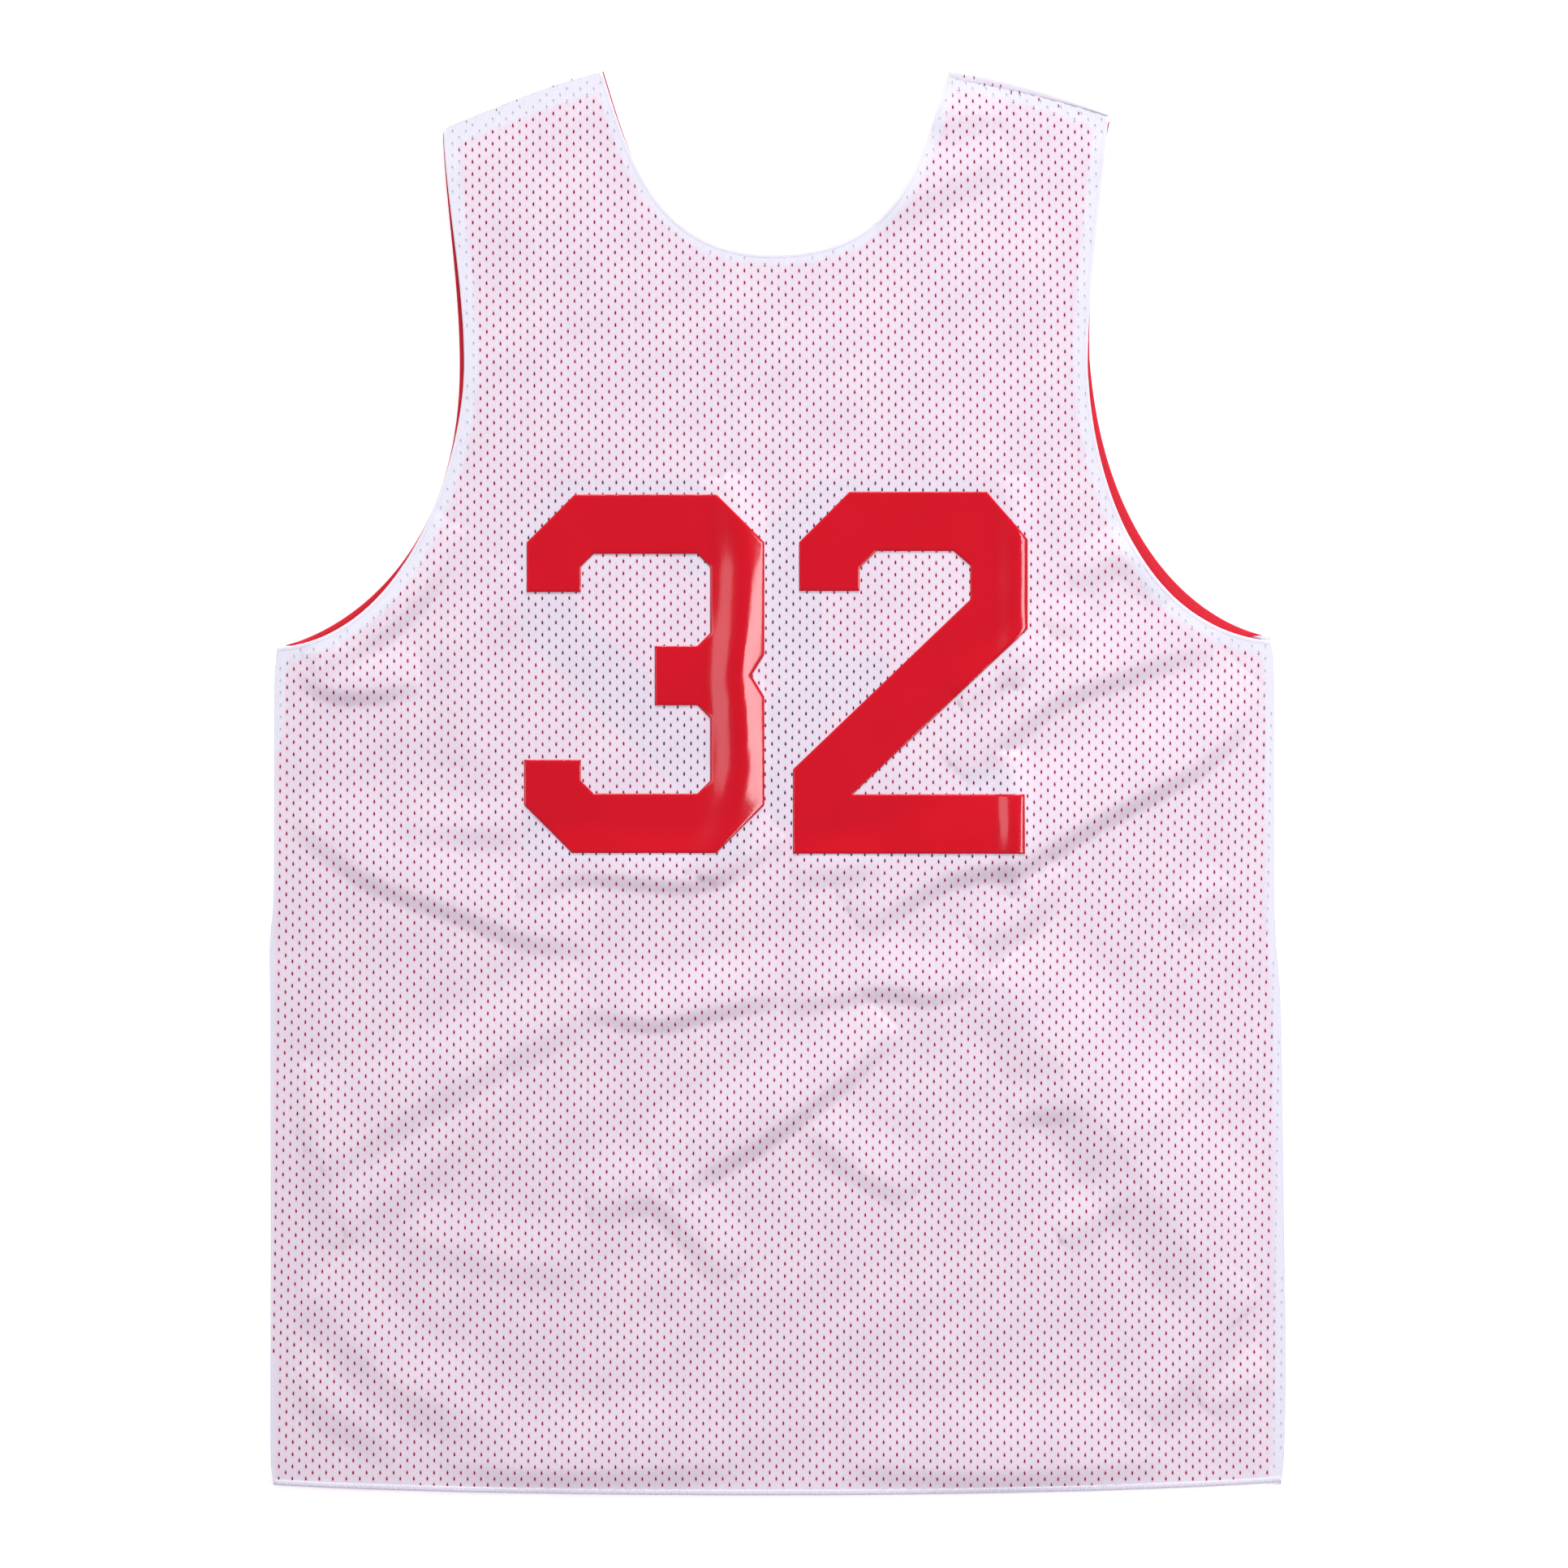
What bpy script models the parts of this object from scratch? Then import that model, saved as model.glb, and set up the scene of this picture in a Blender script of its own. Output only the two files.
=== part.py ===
"""Reversible practice jersey of white mesh over red mesh, laid flat with its back up.

The jersey is four panels of thin cloth lying on each other: a white and a red front,
then a red and a white back. The two white panels meet along the side seams and the
shoulder seams, and the red ones stop at the seam allowances. The uppermost panel has
the creases of a jersey that was pulled from the wash and spread out, and two vinyl
numerals lie on it. Units are metres. X is across the chest, Y is toward the neck and
Z is up, and the origin is the middle of the jersey on the surface it lies on.
"""

import math

import bmesh
import bpy
import numpy as np
from mathutils import Vector

CLOTH = 0.001                # wall of one panel
GAP = 0.0003                 # air between pieces that touch
PITCH = CLOTH + GAP          # from one panel to the next
SEAM_ROLL = 0.0055           # how far in from a seam the white panels bend to meet
SEAM_ALLOWANCE = 0.0135      # the red panels stop here, at sides and shoulders
RED_INSET = 0.0009           # red edge inside the white one, at neck, armholes and hem
FRONT_INSET = 0.0006         # lower white edge inside the red one, at the armholes
FRONT_NECK_DROP = 0.026      # how much deeper the front neckline is cut
VINYL = 0.0006               # thickness of a numeral
VINYL_LIFT = 0.0014          # from a panel's lower face to the numeral on it
SNAP = 0.00025               # a panel's point this near a numeral's edge counts as on it
RELIEF_CAP = 0.009           # creases that cross never stand higher than this
RELIEF_FADE = 0.022          # creases run out this far from a side or shoulder seam

FRONT_OUTER_Z = 0.0
FRONT_INNER_Z = PITCH
BACK_INNER_Z = 2 * PITCH
BACK_OUTER_Z = 3 * PITCH

# Side seams, from the hem up: height, left edge, right edge.
SIDE_ROWS = (
    (-0.3946, -0.2842, 0.2834),
    (-0.3800, -0.2857, 0.2850),
    (-0.3300, -0.2858, 0.2862),
    (-0.2500, -0.2857, 0.2852),
    (-0.1300, -0.2859, 0.2834),
    (-0.0890, -0.2862, 0.2806),
    (-0.0600, -0.2840, 0.2797),
    (0.0400, -0.2837, 0.2796),
    (0.0670, -0.2832, 0.2794),
    (0.0770, -0.2804, 0.2774),
)

# Cut edges as cubic curves: start, start handle, end handle, end.
HEM = ((-0.2842, -0.3946), (-0.1640, -0.4018), (0.1330, -0.4034), (0.2834, -0.3930))
LEFT_SHOULDER = ((-0.1885, 0.3692), (-0.1600, 0.3805), (-0.1300, 0.3940), (-0.0989, 0.4012))
RIGHT_SHOULDER = ((0.0967, 0.4008), (0.1130, 0.3995), (0.1560, 0.3870), (0.1862, 0.3734))
BACK_NECK_LEFT = ((-0.0989, 0.4012), (-0.0912, 0.3797), (-0.0760, 0.2948), (-0.0030, 0.2948))
BACK_NECK_RIGHT = ((-0.0030, 0.2948), (0.0199, 0.2948), (0.0816, 0.3158), (0.0967, 0.4008))
BACK_ARMHOLE_LEFT = (
    ((-0.2804, 0.0770), (-0.2076, 0.0826), (-0.1766, 0.1855), (-0.1766, 0.2360)),
    ((-0.1766, 0.2360), (-0.1766, 0.2817), (-0.1867, 0.3274), (-0.1885, 0.3692)),
)
BACK_ARMHOLE_RIGHT = (
    ((0.2774, 0.0806), (0.2089, 0.0866), (0.1769, 0.1629), (0.1743, 0.2360)),
    ((0.1743, 0.2360), (0.1748, 0.2863), (0.1826, 0.3366), (0.1862, 0.3734)),
)
FRONT_ARMHOLE_LEFT = (
    ((-0.2827, 0.0772), (-0.2512, 0.0828), (-0.1794, 0.1218), (-0.1794, 0.2360)),
    ((-0.1794, 0.2360), (-0.1794, 0.2817), (-0.1876, 0.3274), (-0.1890, 0.3686)),
)
FRONT_ARMHOLE_RIGHT = (
    ((0.2783, 0.0829), (0.2333, 0.0908), (0.1829, 0.1400), (0.1757, 0.2405)),
    ((0.1757, 0.2405), (0.1766, 0.2908), (0.1839, 0.3366), (0.1867, 0.3730)),
)

# Creases of the upper panel: name, height, width of the gentle upper side, width of the
# steep lower side, and the crest's points from end to end.
CREASES = (
    ("right drag", 0.0055, 0.050, 0.022,
     ((0.276, 0.050), (0.238, 0.012), (0.179, -0.020), (0.133, -0.047), (0.101, -0.050),
      (0.046, -0.082))),
    ("centre diagonal", 0.0055, 0.045, 0.022,
     ((0.066, -0.138), (0.033, -0.169), (-0.008, -0.199), (-0.060, -0.230))),
    ("waist left", 0.0040, 0.036, 0.020,
     ((-0.110, -0.127), (-0.072, -0.134), (-0.040, -0.128), (0.004, -0.119))),
    ("waist right", 0.0040, 0.036, 0.020,
     ((0.004, -0.126), (0.056, -0.116), (0.088, -0.119), (0.122, -0.106))),
    ("left drag", 0.0042, 0.044, 0.022,
     ((-0.276, -0.018), (-0.232, -0.052), (-0.182, -0.071), (-0.141, -0.087),
      (-0.104, -0.093))),
    ("under the three", 0.0034, 0.034, 0.020,
     ((-0.144, -0.060), (-0.109, -0.048), (-0.043, -0.052), (0.003, -0.026))),
    ("left fan", 0.0036, 0.042, 0.022,
     ((-0.100, -0.127), (-0.164, -0.162), (-0.210, -0.189), (-0.254, -0.221))),
    ("right slope", 0.0060, 0.062, 0.030,
     ((0.112, -0.110), (0.156, -0.171), (0.202, -0.235), (0.254, -0.306))),
    ("hem left pull", 0.0040, 0.042, 0.024,
     ((-0.270, -0.285), (-0.232, -0.331), (-0.200, -0.352), (-0.158, -0.366))),
    ("hem corner left", 0.0032, 0.034, 0.020,
     ((-0.276, -0.334), (-0.255, -0.354), (-0.215, -0.379))),
    ("armpit left", 0.0036, 0.034, 0.020,
     ((-0.272, 0.064), (-0.255, 0.053), (-0.232, 0.051), (-0.200, 0.056))),
    ("armpit right", 0.0048, 0.040, 0.022,
     ((0.246, 0.072), (0.225, 0.072), (0.193, 0.061), (0.151, 0.044), (0.106, 0.002))),
    ("low centre", 0.0034, 0.034, 0.022,
     ((-0.106, -0.243), (-0.072, -0.235), (-0.052, -0.253), (-0.030, -0.281))),
    ("low left", 0.0030, 0.034, 0.022,
     ((-0.226, -0.250), (-0.182, -0.266), (-0.140, -0.274), (-0.106, -0.278))),
    ("hem right pull", 0.0036, 0.040, 0.022,
     ((0.212, -0.362), (0.247, -0.320), (0.274, -0.286))),
    ("hem wave left", 0.0030, 0.050, 0.020,
     ((-0.190, -0.385), (-0.118, -0.389), (-0.020, -0.385))),
    ("hem wave right", 0.0030, 0.050, 0.020,
     ((0.036, -0.386), (0.124, -0.390), (0.220, -0.383))),
    ("neck right", 0.0026, 0.034, 0.022,
     ((0.054, 0.315), (0.092, 0.332), (0.132, 0.350))),
    ("low middle", 0.0028, 0.034, 0.022,
     ((0.014, -0.192), (0.042, -0.217), (0.075, -0.234))),
)

# Grid lines of a panel, as shares of its width: the neck's two corners and its middle
# are lines, and more lines lie close to the seams, where the cloth rolls.
NECK_LEFT_SHARE = 0.21
NECK_RIGHT_SHARE = 0.79
SEAM_LINES = (0.0, 0.0022, 0.0062, 0.0142)
SHOULDER_LINES = (0.0085, 0.0045, 0.0018)
ARMPIT_CROWDING = 1.5        # the larger, the closer the rows lie at the armpit
EDGE_REACH = 5.0             # the larger, the sooner the hem's and neck's shapes die away
ROW_SAG = 0.022              # how much lower the rows are at the middle than at the sides

# Block numerals: sizes of one digit's strokes.
UPRIGHT = 0.0305             # width of a standing stroke
BAR = 0.0335                 # height of a lying stroke
OUTER_CHAMFER = 0.0270       # cut off the outer corners
INNER_CHAMFER = 0.0072       # cut off the inner corners
THREE = {"left": -0.1428, "bottom": -0.0388, "width": 0.1352, "height": 0.2018}
TWO = {"left": 0.0085, "bottom": -0.0392, "width": 0.1320, "height": 0.2038}

WHITE = (0.86, 0.82, 0.88, 1.0)
RED = (0.62, 0.02, 0.05, 1.0)
VINYL_RED = (0.60, 0.015, 0.03, 1.0)


def bezier(curve, count):
    """Points along one cubic curve, ends included."""
    start, start_handle, end_handle, end = (np.array(point) for point in curve)
    t = np.linspace(0.0, 1.0, count + 1)[:, None]
    s = 1.0 - t
    return s**3 * start + 3 * s**2 * t * start_handle + 3 * s * t**2 * end_handle + t**3 * end


def smooth(value):
    """Smooth step from 0 to 1."""
    value = np.clip(value, 0.0, 1.0)
    return value * value * (3.0 - 2.0 * value)


def through(points, count):
    """A smooth curve through the given points, as evenly spaced ones."""
    points = np.array(points)
    padded = np.vstack([2 * points[0] - points[1], points, 2 * points[-1] - points[-2]])
    pieces = []
    for before, start, end, after in zip(padded, padded[1:], padded[2:], padded[3:]):
        handle = (end - before) / 6.0
        other = (after - start) / 6.0
        pieces.append(bezier((start, start + handle, end - other, end), 24)[:-1])
    line = np.vstack(pieces + [points[-1:]])
    along = np.concatenate([[0.0], np.cumsum(np.linalg.norm(np.diff(line, axis=0), axis=1))])
    wanted = np.linspace(0.0, along[-1], count + 1)
    return np.column_stack([np.interp(wanted, along, line[:, axis]) for axis in (0, 1)])


def inward(points, inset, side):
    """Points moved by inset to the left (side 1) or right (side -1) of their direction."""
    step = np.gradient(points, axis=0)
    normal = np.column_stack([-step[:, 1], step[:, 0]])
    return points + side * inset * normal / np.linalg.norm(normal, axis=1)[:, None]


def side_seam(column, inset, underarm):
    """A side seam from hem to underarm, moved in by inset."""
    rows = np.array(SIDE_ROWS)
    points = np.column_stack([rows[:, column], rows[:, 0]])
    points[-1] = underarm
    sign = 1.0 if column == 1 else -1.0
    points[:, 0] += sign * inset
    return points


def trimmed(points, limit, sign):
    """The stretch of an armhole that lies inside the moved side seam."""
    keep = points[sign * points[:, 0] > sign * limit]
    before = points[len(points) - len(keep) - 1]
    share = (limit - before[0]) / (keep[0][0] - before[0])
    return np.vstack([before + share * (keep[0] - before), keep])


def spaced(points, steps, power=1.0):
    """Points at even steps along a line, closer at its start for a power over 1."""
    along = np.concatenate([[0.0], np.cumsum(np.linalg.norm(np.diff(points, axis=0), axis=1))])
    wanted = np.linspace(0.0, 1.0, steps + 1)**power * along[-1]
    return np.column_stack([np.interp(wanted, along, points[:, axis]) for axis in (0, 1)])


class Panel:
    """One flat cut panel: its four edges and the grid of points between them."""

    def __init__(self, armholes, neck_drop, side_inset, edge_inset, detail):
        self.neck_drop = neck_drop
        self.side_inset = side_inset
        self.edge_inset = edge_inset
        self.rows = detail["rows"]
        self.columns = detail["columns"]
        self.left = self.side(1, armholes[0], 1.0)
        self.right = self.side(2, armholes[1], -1.0)
        self.shares = self.width_shares()
        self.bottom = self.hem()
        self.top = self.neckline()

    def side(self, column, armhole, sign):
        """Side seam, lower armhole and upper armhole, as one column of points."""
        low, high = (bezier(curve, 60) for curve in armhole)
        low = inward(low, self.edge_inset, -sign)
        high = inward(high, self.edge_inset, -sign)
        seam_x = armhole[0][0][0] + sign * self.side_inset
        if self.side_inset:
            low = trimmed(low, seam_x, sign)
        high[-1] = self.shoulder_tip(armhole[1][3], sign)
        seam = side_seam(column, self.side_inset, armhole[0][0])
        seam[0][1] += self.edge_inset
        seam[-1] = low[0]
        stretches = (
            spaced(seam, self.rows[0]),
            spaced(low, self.rows[1], ARMPIT_CROWDING)[1:],
            self.strap(high)[1:],
        )
        return np.vstack(stretches)

    def strap(self, high):
        """Upper armhole, with extra rows beside a shoulder seam that rolls."""
        if not self.columns[2]:
            return spaced(high, self.rows[2])
        length = np.linalg.norm(np.diff(high, axis=0), axis=1).sum()
        along = np.linspace(0.0, length, 400)
        points = spaced(high, 399)
        last = length - SHOULDER_LINES[0]
        wanted = np.linspace(0.0, last, self.rows[2] + 1)
        near_seam = [length - line for line in SHOULDER_LINES[1:]] + [length]
        wanted = np.concatenate([wanted, near_seam])
        return np.column_stack([np.interp(wanted, along, points[:, axis]) for axis in (0, 1)])

    def shoulder_tip(self, tip, sign):
        """Where the armhole meets the shoulder edge."""
        return np.array(tip) + (sign * self.edge_inset, -self.side_inset)

    def width_shares(self):
        """Where the grid's columns lie, as shares of the panel's width."""
        outer, inner, seam = self.columns
        first = np.array(SEAM_LINES) if seam else np.array([0.0])
        half = np.concatenate([
            first,
            np.linspace(first[-1], NECK_LEFT_SHARE, outer + 1)[1:],
            np.linspace(NECK_LEFT_SHARE, 0.5, inner + 1)[1:],
        ])
        return np.concatenate([half, 1.0 - half[-2::-1]])

    def hem(self):
        """Hem edge at the grid's columns."""
        points = bezier(HEM, 80)
        points[:, 1] += self.edge_inset
        share = (points[:, 0] - points[0, 0]) / (points[-1, 0] - points[0, 0])
        start = self.left[0]
        end = self.right[0]
        x = start[0] + self.shares * (end[0] - start[0])
        y = np.interp(self.shares, share, points[:, 1])
        y += (1 - self.shares) * (start[1] - y[0]) + self.shares * (end[1] - y[-1])
        return np.column_stack([x, y])

    def neckline(self):
        """Left shoulder, neck and right shoulder at the grid's columns."""
        left = self.shoulder(LEFT_SHOULDER, self.left[-1], None)
        right = self.shoulder(RIGHT_SHOULDER, None, self.right[-1])
        neck_left = bezier(BACK_NECK_LEFT, 60)
        neck_right = bezier(BACK_NECK_RIGHT, 60)
        neck = np.vstack([neck_left, neck_right[1:]])
        neck = inward(neck, self.edge_inset, -1.0)
        top = neck[:, 1].max()
        depth = top - neck[:, 1].min()
        neck[:, 1] -= self.neck_drop * smooth((top - neck[:, 1]) / depth)
        inner_corner_left = left[-1]
        inner_corner_right = right[0]
        cut = neck[:, 1] < min(inner_corner_left[1], inner_corner_right[1])
        middle = int(np.argmin(neck[:, 1]))
        left_part = np.vstack([[inner_corner_left], neck[:middle + 1][cut[:middle + 1]]])
        right_part = np.vstack([neck[middle:][cut[middle:]], [inner_corner_right]])
        stretches = (
            (left, 0.0, NECK_LEFT_SHARE),
            (left_part, NECK_LEFT_SHARE, 0.5),
            (right_part, 0.5, NECK_RIGHT_SHARE),
            (right, NECK_RIGHT_SHARE, 1.0),
        )
        points = np.zeros((len(self.shares), 2))
        for line, first, last in stretches:
            inside = (self.shares >= first - 1e-9) & (self.shares <= last + 1e-9)
            step = np.linalg.norm(np.diff(line, axis=0), axis=1)
            along = np.concatenate([[0.0], np.cumsum(step)])
            wanted = (self.shares[inside] - first) / (last - first) * along[-1]
            for axis in (0, 1):
                points[inside, axis] = np.interp(wanted, along, line[:, axis])
        return points

    def shoulder(self, curve, start, end):
        """A shoulder edge, moved down by the side inset, from corner to corner."""
        points = bezier(curve, 40)
        points[:, 1] -= self.side_inset
        shift = self.edge_inset
        if start is not None:
            points[0] = start
            points[-1] += (-shift, 0.0)
        else:
            points[-1] = end
            points[0] += (shift, 0.0)
        return points

    def grid(self):
        """All points of the panel, blended between its four edges, row by row.

        The rows sag a little between the sides, and the shapes of the hem and of the
        neckline die away quickly from them, so that rows leave the armholes at an angle.
        """
        height = self.left[-1, 1] - self.left[0, 1]
        v = ((self.left[:, 1] - self.left[0, 1]) / height)[:, None, None]
        u = self.shares[None, :, None]
        across = (1 - u) * self.left[:, None, :] + u * self.right[:, None, :]
        hem_shape = self.bottom[None, :, :] - across[:1]
        neck_shape = self.top[None, :, :] - across[-1:]
        points = across + (1 - v)**EDGE_REACH * hem_shape + v**EDGE_REACH * neck_shape
        points[:, :, 1] -= ROW_SAG * 4 * u[:, :, 0] * (1 - u[:, :, 0]) * np.sin(math.pi * v[:, :, 0])
        return points


def segment_distance(x, y, start, end):
    """Distance from points to a segment, and the nearest share along it."""
    run = np.array(end) - np.array(start)
    share = ((x - start[0]) * run[0] + (y - start[1]) * run[1]) / (run @ run)
    share = np.clip(share, 0.0, 1.0)
    return np.hypot(x - start[0] - share * run[0], y - start[1] - share * run[1]), share


def line_distance(x, y, line):
    """Distance to a line of points, signed up for the light's side, and share along it."""
    nearest = np.full(np.shape(x), np.inf)
    signed = np.zeros(np.shape(x))
    place = np.zeros(np.shape(x))
    count = len(line) - 1
    for index in range(count):
        start = line[index]
        end = line[index + 1]
        distance, share = segment_distance(x, y, start, end)
        normal = np.array([start[1] - end[1], end[0] - start[0]])
        if normal @ (0.3, 1.0) < 0:
            normal = -normal
        side = (x - start[0]) * normal[0] + (y - start[1]) * normal[1]
        closer = distance < nearest
        nearest = np.where(closer, distance, nearest)
        signed = np.where(closer, np.where(side >= 0, distance, -distance), signed)
        place = np.where(closer, (index + share) / count, place)
    return signed, place


def seam_distance(x, y, panel_edges):
    """Distance to the nearest side or shoulder seam."""
    nearest = np.full(np.shape(x), np.inf)
    for line in panel_edges:
        for start, end in zip(line, line[1:]):
            distance, _ = segment_distance(x, y, start, end)
            nearest = np.minimum(nearest, distance)
    return nearest


def seam_lines(armholes):
    """The side seams and shoulder seams of a white panel."""
    return (
        side_seam(1, 0.0, armholes[0][0][0]),
        side_seam(2, 0.0, armholes[1][0][0]),
        bezier(LEFT_SHOULDER, 8),
        bezier(RIGHT_SHOULDER, 8),
    )


def relief(x, y):
    """How far the creases lift the upper panel."""
    total = np.zeros(np.shape(x))
    for _, height, gentle, steep, points in CREASES:
        signed, place = line_distance(x, y, through(points, 14))
        across = np.where(signed >= 0, signed / gentle, -signed / steep)
        taper = np.sin(math.pi * np.clip(place, 0.0, 1.0))**0.7
        total += height * (1.0 - smooth(across)) * taper
    return RELIEF_CAP * (1.0 - np.exp(-total / RELIEF_CAP))


def new_material(name, colour, roughness):
    """Plain material with the piece's colour."""
    material = bpy.data.materials.new(name)
    material.use_nodes = True
    shader = material.node_tree.nodes["Principled BSDF"]
    shader.inputs["Base Color"].default_value = colour
    shader.inputs["Roughness"].default_value = roughness
    shader.inputs["Metallic"].default_value = 0.0
    material.diffuse_color = colour
    return material


def grid_triangles(rows, columns):
    """Triangles of a grid, each square cut along its rising diagonal."""
    triangles = []
    for row in range(rows - 1):
        for column in range(columns - 1):
            corner = row * columns + column
            right = corner + 1
            above = corner + columns
            triangles.append((corner, right, above + 1))
            triangles.append((corner, above + 1, above))
    return triangles


def cloth_object(name, points, triangles, thickness, material, collection):
    """A piece of sheet: an open surface thickened upward."""
    mesh = bpy.data.meshes.new(name)
    mesh.from_pydata([tuple(point) for point in points], [], triangles)
    mesh.shade_smooth()
    mesh.materials.append(material)
    piece = bpy.data.objects.new(name, mesh)
    collection.objects.link(piece)
    wall = piece.modifiers.new("wall", "SOLIDIFY")
    wall.thickness = thickness
    wall.offset = 1.0
    wall.use_even_offset = True
    return piece


def panel_object(name, panel, height, material, collection):
    """A panel as a piece of cloth at the given heights."""
    flat = panel.grid()
    rows, columns = flat.shape[:2]
    x = flat[:, :, 0]
    y = flat[:, :, 1]
    points = np.dstack([x, y, height(x, y)]).reshape(-1, 3)
    triangles = grid_triangles(rows, columns)
    return cloth_object(name, points, triangles, CLOTH, material, collection)


def digit_three(left, bottom, width, height):
    """Outline of a block 3, counter-clockwise from its lower left chamfer."""
    right = left + width
    top = bottom + height
    cut = OUTER_CHAMFER
    small = INNER_CHAMFER
    notch = 0.0072
    notch_half = 0.0118
    waist = bottom + 0.098
    bar_left = left + 0.0735
    inner_left = left + UPRIGHT
    inner_right = right - UPRIGHT
    upper_stub = top - cut - 0.0280
    lower_stub = bottom + cut + 0.0255
    return (
        (left + cut, bottom), (right - cut, bottom), (right, bottom + cut),
        (right, waist - notch_half), (right - notch, waist), (right, waist + notch_half),
        (right, top - cut), (right - cut, top), (left + cut, top), (left, top - cut),
        (left, upper_stub), (inner_left, upper_stub),
        (inner_left, top - BAR - small), (inner_left + small, top - BAR),
        (inner_right - small, top - BAR), (inner_right, top - BAR - small),
        (inner_right, waist + BAR / 2 + small), (inner_right - small, waist + BAR / 2),
        (bar_left, waist + BAR / 2), (bar_left, waist - BAR / 2),
        (inner_right - small, waist - BAR / 2), (inner_right, waist - BAR / 2 - small),
        (inner_right, bottom + BAR + small), (inner_right - small, bottom + BAR),
        (inner_left + small, bottom + BAR), (inner_left, bottom + BAR + small),
        (inner_left, lower_stub), (left, lower_stub), (left, bottom + cut),
    )


def digit_two(left, bottom, width, height):
    """Outline of a block 2, counter-clockwise from its lower left corner."""
    right = left + width
    top = bottom + height
    cut = OUTER_CHAMFER
    small = INNER_CHAMFER
    slope_foot = (left + 0.0336, bottom + BAR)
    slope_low = bottom + 0.0475
    slope_high = bottom + 0.1430
    elbow = bottom + 0.1255
    hook_width = 0.0345
    hook_end = top - cut - 0.0290
    hook_inner = left + hook_width
    inner_right = right - UPRIGHT
    return (
        (left, bottom), (right, bottom), (right, bottom + BAR), slope_foot,
        (right, elbow), (right, top - cut), (right - cut, top), (left + cut, top),
        (left, top - cut), (left, hook_end), (hook_inner, hook_end),
        (hook_inner, top - BAR - small), (hook_inner + small, top - BAR),
        (inner_right - small, top - BAR), (inner_right, top - BAR - small),
        (inner_right, slope_high), (left, slope_low),
    )


def inside(x, y, outline):
    """Whether a point lies inside a closed outline."""
    found = False
    for (x0, y0), (x1, y1) in zip(outline, outline[1:] + outline[:1]):
        if (y0 > y) != (y1 > y) and x < x0 + (y - y0) * (x1 - x0) / (y1 - y0):
            found = not found
    return found


def near(face, start, end, margin):
    """Whether a face's box touches the box round an outline's edge."""
    for axis in (0, 1):
        values = [corner.co[axis] for corner in face.verts]
        low = min(start[axis], end[axis]) - margin
        high = max(start[axis], end[axis]) + margin
        if max(values) < low or min(values) > high:
            return False
    return True


def digit_object(name, outline, panel, material, collection):
    """A numeral cut out of a copy of the panel's own points, moved up onto it."""
    sheet = bmesh.new()
    sheet.from_mesh(panel.data)
    for start, end in zip(outline, outline[1:] + outline[:1]):
        faces = [face for face in sheet.faces if near(face, start, end, 2 * SNAP)]
        edges = {edge for face in faces for edge in face.edges}
        corners = {corner for face in faces for corner in face.verts}
        bmesh.ops.bisect_plane(
            sheet,
            geom=faces + list(edges) + list(corners),
            dist=SNAP,
            plane_co=(start[0], start[1], 0.0),
            plane_no=Vector((start[1] - end[1], end[0] - start[0], 0.0)).normalized(),
        )
    outside = []
    for face in sheet.faces:
        middle = face.calc_center_median()
        if not inside(middle.x, middle.y, outline):
            outside.append(face)
    bmesh.ops.delete(sheet, geom=outside, context="FACES")
    bmesh.ops.triangulate(sheet, faces=sheet.faces[:])
    bmesh.ops.translate(sheet, verts=sheet.verts[:], vec=(0.0, 0.0, VINYL_LIFT))
    sheet.verts.index_update()
    points = [tuple(corner.co) for corner in sheet.verts]
    triangles = [tuple(corner.index for corner in face.verts) for face in sheet.faces]
    sheet.free()
    return cloth_object(name, points, triangles, VINYL, material, collection)


def main():
    for old in list(bpy.data.objects):
        bpy.data.objects.remove(old, do_unlink=True)
    jersey = bpy.data.collections.new("practice_jersey")
    bpy.context.scene.collection.children.link(jersey)
    white = new_material("white mesh", WHITE, 0.85)
    red = new_material("red mesh", RED, 0.85)
    vinyl = new_material("red vinyl", VINYL_RED, 0.25)

    back = (BACK_ARMHOLE_LEFT, BACK_ARMHOLE_RIGHT)
    front = (FRONT_ARMHOLE_LEFT, FRONT_ARMHOLE_RIGHT)
    fine = {"rows": (27, 9, 8), "columns": (7, 11, True)}
    plain = {"rows": (8, 8, 5), "columns": (3, 6, False)}
    rolled = {"rows": (9, 9, 5), "columns": (3, 6, True)}
    back_seams = seam_lines(back)
    front_seams = seam_lines(front)

    def roll(x, y, seams):
        """How far a white panel bends toward the other one near a seam."""
        distance = seam_distance(x, y, seams)
        return PITCH * np.clip(1.0 - distance / SEAM_ROLL, 0.0, 1.0)**2

    def front_outer_height(x, y):
        return FRONT_OUTER_Z + roll(x, y, front_seams)

    def back_outer_height(x, y):
        distance = seam_distance(x, y, back_seams)
        lift = relief(x, y) * smooth((distance - SEAM_ROLL) / RELIEF_FADE)
        return BACK_OUTER_Z - roll(x, y, back_seams) + lift

    def level(z):
        return lambda x, y: np.full(np.shape(x), z)

    lower = Panel(front, FRONT_NECK_DROP, 0.0, FRONT_INSET, rolled)
    lower_red = Panel(front, FRONT_NECK_DROP, SEAM_ALLOWANCE, 0.0, plain)
    upper_red = Panel(back, 0.0, SEAM_ALLOWANCE, RED_INSET, plain)
    upper = Panel(back, 0.0, 0.0, 0.0, fine)
    panel_object("front_outer", lower, front_outer_height, white, jersey)
    panel_object("front_inner", lower_red, level(FRONT_INNER_Z), red, jersey)
    panel_object("back_inner", upper_red, level(BACK_INNER_Z), red, jersey)
    back_outer = panel_object("back_outer", upper, back_outer_height, white, jersey)
    digit_object("digit_3", digit_three(**THREE), back_outer, vinyl, jersey)
    digit_object("digit_2", digit_two(**TWO), back_outer, vinyl, jersey)


main()
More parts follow.
